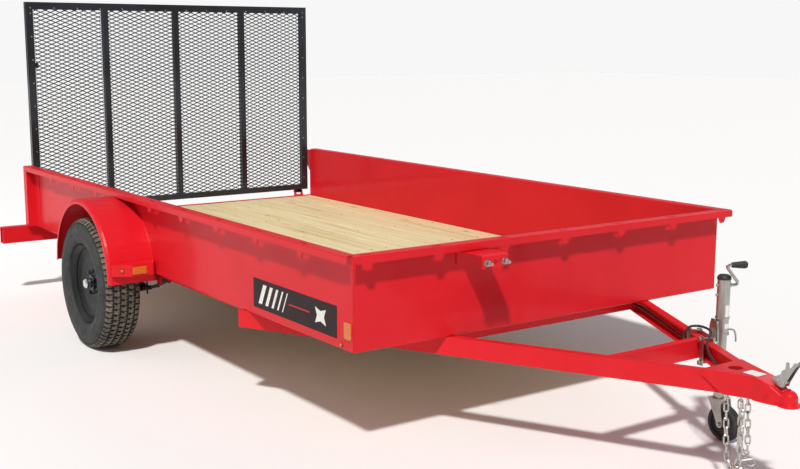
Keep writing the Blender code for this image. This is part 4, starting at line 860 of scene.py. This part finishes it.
star = []
for k in range(8):
    reach, t = (1 if k % 2 else STAR_WAIST), radians(45 * k)
    star.append((STAR_AT[0] + STAR_HALF[0] * cos(t) * reach, STAR_AT[1] + STAR_HALF[1] * sin(t) * reach))
for word, side in SIDES:
    lap = Build()
    lap.slab(rectangle(LAP_X, LAP_Z), on_wall(side, 0.0, 0.0012), (X, Z, Y), 0.0004)
    lap.make("corner_lap_" + word, RED)
    decal = Build()
    decal.slab(rounded(DECAL_X, DECAL_Z, 0.002), on_wall(side, 0.0001, 0.0009), (X, Z, Y))
    decal.make("side_decal_" + word, DECAL)
    printed = on_wall(side, 0.0008, 0.0013)
    stripes = Build()
    for at, width in STRIPES:
        across = (AXLE_X + at, AXLE_X + at + width)
        stripes.slab(rectangle(across, STRIPE_Z, STRIPE_LEAN * side), printed, (X, Z, Y))
    stripes.slab(star, printed, (X, Z, Y))
    stripes.make("decal_stripes_" + word, STRIPE)
    Build().slab(rectangle(LINE_X, LINE_Z), printed, (X, Z, Y)).make("decal_line_" + word, RED)

# ---- welds on the body
FENDER_AT = (AXLE_X - 0.034, 0.4)  # x and z of the fender's middle
FENDER_ARC = (0.3955, 0.384)  # its weld's radii, along and up
ARC_POINTS, ARC_FROM, ARC_TURN = 120, 4, 170
POST_X, POST_WELD_Z = AXLE_X - 1.552, (0.65, 0.795)
TACKS, TACK_L = (-1.1, -0.42, 0.28, 0.95, 1.62, 2.05), 0.032  # along the deck's edge, from the axle
COUPLER_X = (AXLE_X + 3.1195, AXLE_X + 3.198, AXLE_X + 3.232)  # weld's corners on the legs
COUPLER_Z = (0.418, 0.3524)
COUPLER_TOP = 0.4305
sill_lo, sill_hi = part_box("rear_sill")
bar_lo, bar_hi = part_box("tongue_crossbar")
welds = Build()
for word, side in SIDES:
    arc = []
    for k in range(ARC_POINTS):
        t = radians(ARC_FROM + ARC_TURN * k / (ARC_POINTS - 1))
        x, z = FENDER_AT[0] + FENDER_ARC[0] * cos(t), FENDER_AT[1] + FENDER_ARC[1] * sin(t)
        arc.append((x, side * (WALL_Y + 0.001), z))
    welds.tube(arc, [0.0026 * rng.uniform(0.7, 1.1) for _ in arc], 6)
    box_lo, box_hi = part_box("lamp_box_" + word)
    x, y, top = box_lo.x + 0.0015, side * (WALL_Y + 0.0015), box_hi.z
    bead(welds, (x, side * 1.25, top), (x, y, top), 0.0034)
    bead(welds, (box_lo.x + 0.018, y, top - 0.001), (box_hi.x, side * 1.062, top - 0.001), 0.0026)
    z = deck_hi.z + 0.001
    bead(welds, (sill_hi.x - 0.002, side * 1.0265, z), (sill_lo.x + 0.004, side * 1.0275, z), 0.0022)
    for y in (1.0345, 1.0415):
        bead(welds, (POST_X, side * y, POST_WELD_Z[0]), (POST_X, side * y, POST_WELD_Z[1]), 0.0028)
    y, z = side * 1.0262, deck_hi.z + 0.0015
    for at in TACKS:
        bead(welds, (AXLE_X + at, y, z), (AXLE_X + at + TACK_L, y, z), 0.0022)

for side in (-1, 1):
    for x in (bar_lo.x, bar_hi.x):
        y = side * (leg_outer(x) - 0.0415)
        bead(welds, (x, y, bar_lo.z + 0.004), (x, y, bar_hi.z - 0.002), 0.0028)
    y0, y1 = [side * (leg_outer(x) - 0.041) for x in (bar_lo.x, bar_hi.x)]
    bead(welds, (bar_lo.x, y0, bar_hi.z), (bar_hi.x, y1, bar_hi.z), 0.0028)
    x0, x1, x2 = COUPLER_X
    y0, y1, y2 = leg_outer(x0) + 0.0035, leg_outer(x1) + 0.0035, leg_outer(x2) + 0.002
    bead(welds, (x0, side * y0, COUPLER_Z[0]), (x1, side * y1, COUPLER_Z[1] + 0.0001), 0.003)
    bead(welds, (x1, side * y1, COUPLER_Z[1] - 0.0001), (x2, side * y2, COUPLER_Z[1] - 0.0001), 0.0026)
    x0 -= 0.0005
    bead(welds, (x0, side * (y0 - 0.004), COUPLER_TOP), (x0, side * (y0 - 0.038), COUPLER_TOP), 0.0028)
welds.make("body_welds", RED, smooth=True)

# ---- coupler
LIP_R, LIP_INSIDE = 0.041, 0.03  # radii of the rolled lip round the socket
VOXEL, SOFTEN = 0.0017, 12  # remesh size and smoothing steps of the pressed shell
LEVER = [
    (3.355, 0.442), (3.3624, 0.4487), (3.373, 0.452), (3.383, 0.4573), (3.39, 0.4627), (3.3919, 0.4739),
    (3.3985, 0.478), (3.4065, 0.4845), (3.4072, 0.496), (3.4085, 0.5087), (3.4135, 0.51), (3.419, 0.509),
    (3.4205, 0.496), (3.422, 0.4881), (3.4289, 0.4921), (3.4345, 0.502), (3.4402, 0.512), (3.4576, 0.5145),
    (3.4533, 0.5045), (3.4462, 0.4984), (3.4348, 0.4802), (3.42, 0.453), (3.41, 0.4339), (3.405, 0.418),
    (3.3935, 0.415), (3.3749, 0.4183), (3.364, 0.426), (3.3555, 0.4353),
]
BRIDGE = ((3.356, 0.4425), (3.364, 0.4488), (3.376, 0.453), (3.384, 0.4572), (3.385, 0.4545), (3.36, 0.4395))
LEVER_PINS = ((3.378, 0.437, 0.0062), (3.398, 0.468, 0.0045), (3.402, 0.432, 0.005))
lever = Build()
outline = [(AXLE_X + x, z) for x, z in LEVER]
lever.slab(outline, (-0.015, -0.0115), (X, Z, Y))
lever.slab(outline[:7] + outline[14:], (0.0115, 0.015), (X, Z, Y))
lever.slab([(AXLE_X + x, z) for x, z in BRIDGE], (-0.012, 0.012), (X, Z, Y))
for x, z, r in LEVER_PINS:
    lever.button(
        [(-0.0185, r - 0.001), (-0.0175, r), (0.0175, r), (0.0185, r - 0.001)], (AXLE_X + x, 0, z), Y, 16,
    )
lever.make("coupler_lever", ZINC, replaces=["coupler_latch"])


def pressed_coupler():
    """The coupler's pressed shell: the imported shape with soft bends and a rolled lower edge."""
    source = nodes["coupler"].data
    low = min(v.co.z for v in source.vertices if v.co.x > BALL_X - 0.2) + 0.004
    rolled = Build()
    rolled.add([v.co for v in source.vertices], [tuple(f.vertices) for f in source.polygons])
    for side in (-1, 1):
        edge = {}
        for v in source.vertices:
            if v.co.z < low and BALL_X - 0.215 < v.co.x < BALL_X - 0.004 and v.co.y * side > 0.026:
                key = round(v.co.x, 3)
                if key not in edge or abs(v.co.y) > abs(edge[key].y):
                    edge[key] = v.co.copy()
        path = [edge[key] + Vector((0, side * 0.001, 0.0022)) for key in sorted(edge)]
        rolled.tube(path, 0.004, 10)
    lip = [(-0.0285, -0.004), (-0.0265, -0.001), (-0.0225, 0.0), (-0.0185, -0.001), (-0.0165, -0.004)]
    lip = [(-0.0285, LIP_INSIDE), *((z, LIP_R + over) for z, over in lip), (-0.0165, LIP_INSIDE)]
    rolled.spin(lip, (BALL_X, 0, BALL_Z), Z, 64)
    rough = rolled.make("coupler_shell", RED, smooth=True, replaces=["coupler"])
    voxels = rough.modifiers.new("voxels", "REMESH")
    voxels.mode = "VOXEL"
    voxels.voxel_size = VOXEL
    soft = rough.modifiers.new("soft", "SMOOTH")
    soft.factor = 0.5
    soft.iterations = SOFTEN
    bpy.context.view_layer.update()
    shape = bpy.data.meshes.new_from_object(rough.evaluated_get(bpy.context.evaluated_depsgraph_get()))
    rough.modifiers.clear()
    rough.data = shape
    for face in shape.polygons:
        face.use_smooth = True
    return rough


pressed_coupler()

LABEL_X, LABEL_Y = (AXLE_X + 3.24, AXLE_X + 3.306), (-0.03, 0.022)
Build().slab(rounded(LABEL_X, LABEL_Y, 0.002), (0.4351, 0.4355), (X, Y, Z)).make("coupler_label", LABEL)
SIDE_BOLT = [(-0.002, 0.0072), (0.0035, 0.0072), (0.005, 0.0058)]
SIDE_BOLT_AT = (AXLE_X + 3.352, 0.0425, 0.379)
bolt = Build()
for side in (-1, 1):
    x, y, z = SIDE_BOLT_AT
    bolt.button(SIDE_BOLT, (x, side * y, z), Y * side, 6)
bolt.button([(0.0, 0.006), (0.0015, 0.006), (0.0025, 0.004)], (BALL_X, 0.0, 0.4102), Z, 16)
bolt.make("coupler_bolts", RED)

# ---- safety chains
CHAIN = {
    "right": [(3.184, -0.042, 0.34), (3.19, -0.044, 0.24), (3.198, -0.046, 0.14), (3.212, -0.048, 0.092),
              (3.232, -0.048, 0.074), (3.25, -0.047, 0.09), (3.256, -0.045, 0.14), (3.256, -0.043, 0.24),
              (3.254, -0.042, 0.34)],
    "left": [(3.194, 0.026, 0.34), (3.196, 0.028, 0.25), (3.2, 0.03, 0.15), (3.205, 0.031, 0.116),
             (3.218, 0.032, 0.1), (3.231, 0.031, 0.116), (3.233, 0.03, 0.15), (3.229, 0.028, 0.25),
             (3.226, 0.026, 0.34)],
}
LINK_PITCH, LINK_WIRE, LINK_HALF = 0.029, 0.0032, 0.0086  # LINK_HALF is the bend's radius
HOOK_BEND, HOOK_WIRE, HOOK_HALF = 0.0125, 0.0042, 0.0155
HOOK_TURNS = [(-HOOK_HALF, a) for a in range(310, 80, -20)] + [(HOOK_HALF, a) for a in range(-90, 131, 20)]
HOOK_REACH = {"right": (0.62, 0.78, -0.16), "left": (0.6, 0.62, -0.52)}  # along each S-hook
HOOK_PLANE = (0.8, -0.57, 0.17)  # across its flat


def link(build, a, b, across):
    """One chain link from joint a to joint b; across is the direction of its width."""
    along = (b - a).normalized()
    mid = (a + b) / 2
    straight = (b - a).length / 2 + LINK_WIRE - LINK_HALF
    pts = []
    for end, first in ((1, -90), (-1, 90)):
        for k in range(9):
            t = radians(first + 180 * k / 8)
            pts.append(mid + along * (end * straight + LINK_HALF * cos(t)) + across * LINK_HALF * sin(t))
    build.tube(pts, LINK_WIRE, 8, True)


for word, points in CHAIN.items():
    path = smooth_route([(AXLE_X + x, y, z) for x, y, z in points], 40)
    spots = [path[0]]
    for spot in path[1:]:
        if (spot - spots[-1]).length >= LINK_PITCH:
            spots.append(spot)
    links = Build()
    for k, (a, b) in enumerate(zip(spots, spots[1:])):
        along = (b - a).normalized()
        swing = radians(rng.uniform(-22, 22) + (90 if k % 2 else 0) + 35)
        side = along.cross(Y).normalized()
        other = along.cross(side)
        link(links, a, b, cos(swing) * side + sin(swing) * other)
    links.make("chain_links_" + word, CHAIN_ZINC, smooth=True, replaces=["safety_chain_" + word])
    lowest = min(path, key=lambda p: p.z)
    reach = Vector(HOOK_REACH[word]).normalized()
    lift = reach.cross(Vector(HOOK_PLANE)).normalized()
    eye = lowest + 0.015 * reach - Z * 0.004
    spots = []
    for offset, a in HOOK_TURNS:
        t = radians(a)
        spots.append(eye + (offset + HOOK_BEND * cos(t)) * reach + HOOK_BEND * sin(t) * lift)
    Build().tube(smooth_route(spots, 2), HOOK_WIRE, 10).make("chain_hook_" + word, CHAIN_ZINC, smooth=True)

# ---- jack
mast = Vector(JOINTS["jack_caster_swivel"]["pos_m"])
mast.z = 0.0
OUT = Vector(JOINTS["jack_swivel"]["axis"]).normalized()
ALONG = Vector((OUT.y, -OUT.x, 0.0))
TUBE_R, JACK_TOP, JACK_OUT = 0.026, 0.672, 0.07  # mast tube, its top, and how far it is off the leg
CRANK_Z = 0.64
RIVET_Z = (CRANK_Z, 0.6)
COLLAR_Z, COLLAR_H = (0.4385, 0.504), 0.008
STICKER_Z, STICKER_HALF = ((0.513, 0.562), (0.466, 0.486)), 24  # heights, and half the turn it covers
CLAMP_A, CLAMP_Z = 0.0675, (0.3427, 0.4402)  # clamp bolts along the leg and in height
TOP_PIN = mast - 0.004 * OUT + 0.044 * ALONG + 0.723 * Z

CAP = ((-0.008, 0.0018), (-0.003, 0.0022), (0.002, 0.0016), (0.0085, -0.0026), (0.0115, -0.008))
RIVET_HEAD = ((-0.001, 0.006), (0.004, 0.006), (0.006, 0.0042))
BUSHING = ((-0.001, 0.009), (0.0045, 0.009), (0.006, 0.0074))
cap = Build()
cap.button([(JACK_TOP + s, TUBE_R + over) for s, over in CAP] + [(JACK_TOP + 0.013, 0.004)], mast, Z, 40)
cap.make("jack_cap", GRIP, "jack_mast", smooth=True)

trim = Build()
for z in RIVET_Z:
    trim.button([(TUBE_R + s, radius) for s, radius in RIVET_HEAD], mast + Z * z, -OUT, 14)
trim.button([(TUBE_R + s, radius) for s, radius in BUSHING], mast + Z * CRANK_Z, OUT, 20)
trim.button([(-0.008, 0.0062), (-0.0065, 0.0074), (-0.004, 0.0074)], TOP_PIN, OUT, 14)
trim.make("jack_rivets", ZINC, "jack_mast", smooth=True)

ring = Build()
for z in COLLAR_Z:
    edge = [(z, 0.003), (z + COLLAR_H / 2, 0.0034), (z + COLLAR_H, 0.003)]
    profile = [(z, -0.001), *edge, (z + COLLAR_H, -0.001)]
    ring.spin([(s, TUBE_R + over) for s, over in profile], mast, Z, 40)
ring.make("jack_collars", ZINC, "jack_mast", smooth=True)

pin = Build()
PULL = (
    (0.026, 0.457), (0.036, 0.458), (0.046, 0.4555), (0.053, 0.448), (0.057, 0.436), (0.0595, 0.42),
    (0.06, 0.406),
)
pin.tube(smooth_route([mast + o * OUT + 0.004 * ALONG + z * Z for o, z in PULL], 5), 0.0036, 10)
pin.make("jack_pull_pin", ZINC, "jack_mast", smooth=True)

stickers = Build()
for pair in STICKER_Z:
    inner = [(TUBE_R + 0.0002, a) for a in range(-STICKER_HALF, STICKER_HALF + 1, 8)]
    outer = [(TUBE_R + 0.0006, a) for a in range(STICKER_HALF, -STICKER_HALF - 1, -8)]
    bend = [(r, radians(a - 3)) for r, a in inner + outer]
    rings = [[mast + Vector((r * cos(t), r * sin(t), z)) for r, t in bend] for z in pair]
    stickers.loft(rings)
stickers.make("jack_stickers", LABEL, "jack_mast")

clamp_nuts = Build()
foot = mast - JACK_OUT * OUT
for a in (-CLAMP_A, CLAMP_A):
    for z in CLAMP_Z:
        at = foot + a * ALONG + z * Z
        clamp_nuts.button([(-0.053, 0.0092), (-0.0455, 0.0092), (-0.0445, 0.008)], at, OUT, 6)
        clamp_nuts.button([(0.0062, 0.01), (0.0135, 0.0092), (0.014, 0.008)], at, OUT, 6)
clamp_nuts.make("clamp_nuts", ZINC)

# jack wheel: moulded tyre with ribs on a plastic centre
wheel_c = Vector(JOINTS["jack_wheel_spin"]["pos_m"])
ROLLER_HALF = [
    (0.0010, 0.0738), (0.0015, 0.0758), (0.0090, 0.0752), (0.0095, 0.0722), (0.0115, 0.0722),
    (0.0120, 0.0738),
    (0.0165, 0.0705), (0.0200, 0.0660), (0.0204, 0.0600), (0.0195, 0.0545), (0.0150, 0.0520),
    (0.0110, 0.0490),
    (0.0110, 0.0230), (0.0170, 0.0200), (0.0195, 0.0180), (0.0195, 0.0070),
]
profile = [(-s, radius) for s, radius in ROLLER_HALF[::-1]] + ROLLER_HALF
roller = Build()
roller.spin(profile, wheel_c, Y, 72)
roller.make("jack_roller_tyre", TYRE, "jack_roller", slot="grip_rubber", smooth=True, replaces=["jack_wheel"])
axle_nuts = Build()
for side in (-1, 1):
    axle_nuts.button([(0.0338, 0.0088), (0.0405, 0.0088), (0.0415, 0.0075)], wheel_c, Y * side, 6)
axle_nuts.make("fork_axle_nuts", ZINC, "jack_caster")

# ---- bracket studs
THREAD_TURNS, THREAD_STEPS, THREAD_PITCH, THREAD_R = 14, 12, 0.00145, 0.0058
threads = Build()
for k in (1, 2):
    lo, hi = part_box(f"bracket_stud_{k}")
    c = (lo + hi) / 2
    flange = [(lo.x - 0.0002, 0.014), (lo.x + 0.0018, 0.014), (lo.x + 0.0022, 0.0132)]
    threads.button(flange, (0, c.y, c.z), X, 24)
    helix = []
    for n in range(THREAD_TURNS * THREAD_STEPS):
        t = 2 * pi * n / THREAD_STEPS
        x = lo.x + 0.013 + n / THREAD_STEPS * THREAD_PITCH
        helix.append((x, c.y + THREAD_R * cos(t), c.z + THREAD_R * sin(t)))
    threads.tube(helix, 0.0006, 5)
threads.make("stud_threads", ZINC, smooth=True)

# ---- floor, light, background
FLOOR_HALF = 40.0
FLOOR_GREY, PAPER_GREY = 0.86, 0.93  # the floor, and the background behind it as the camera sees it
SKY, SKY_STRENGTH = (0.93, 0.96, 1.0, 1.0), 0.3
floor_mesh = bpy.data.meshes.new("floor")
corners = rectangle((-FLOOR_HALF, FLOOR_HALF), (-FLOOR_HALF, FLOOR_HALF))
floor_mesh.from_pydata([(x, y, 0) for x, y in corners], [], [(0, 1, 2, 3)])
floor = placed("floor", floor_mesh)
floor_shader = Shader("floor_pale", rough=0.9)
floor_shader.put("Base Color", (FLOOR_GREY,) * 3)
floor_mesh.materials.append(floor_shader.mat)

bpy.context.scene.view_settings.view_transform = "Standard"
world = bpy.data.worlds.new("studio")
bpy.context.scene.world = world
world.use_nodes = True
sky = world.node_tree
ambient = sky.nodes["Background"]
ambient.inputs["Color"].default_value = SKY
ambient.inputs["Strength"].default_value = SKY_STRENGTH
paper = sky.nodes.new("ShaderNodeBackground")
paper.inputs["Color"].default_value = (PAPER_GREY, PAPER_GREY, PAPER_GREY, 1.0)
seen = sky.nodes.new("ShaderNodeLightPath")
either = sky.nodes.new("ShaderNodeMixShader")
sky.links.new(seen.outputs["Is Camera Ray"], either.inputs[0])
sky.links.new(ambient.outputs[0], either.inputs[1])
sky.links.new(paper.outputs[0], either.inputs[2])
sky.links.new(either.outputs[0], sky.nodes["World Output"].inputs["Surface"])


def lamp(name, kind, toward, power, colour, **options):
    """A light that shines along a direction from 8 m off; its size is in the options."""
    light = bpy.data.lights.new(name, kind)
    light.energy = power
    light.color = colour
    for key, value in options.items():
        setattr(light, key, value)
    obj = placed(name, light)
    obj.location = -8.0 * Vector(toward).normalized()
    obj.rotation_mode = "QUATERNION"
    obj.rotation_quaternion = Vector(toward).to_track_quat("-Z", "Y")


lamp("key", "SUN", (-0.48, 0.44, -0.8), 3.25, (1.0, 0.975, 0.94), angle=radians(4.0))
lamp("fill", "AREA", (0.6, 0.7, -0.35), 60.0, (0.93, 0.96, 1.0), size=5.0)
lamp("back", "SUN", (0.3, -0.8, -0.6), 0.35, (1.0, 1.0, 1.0), angle=radians(30.0))
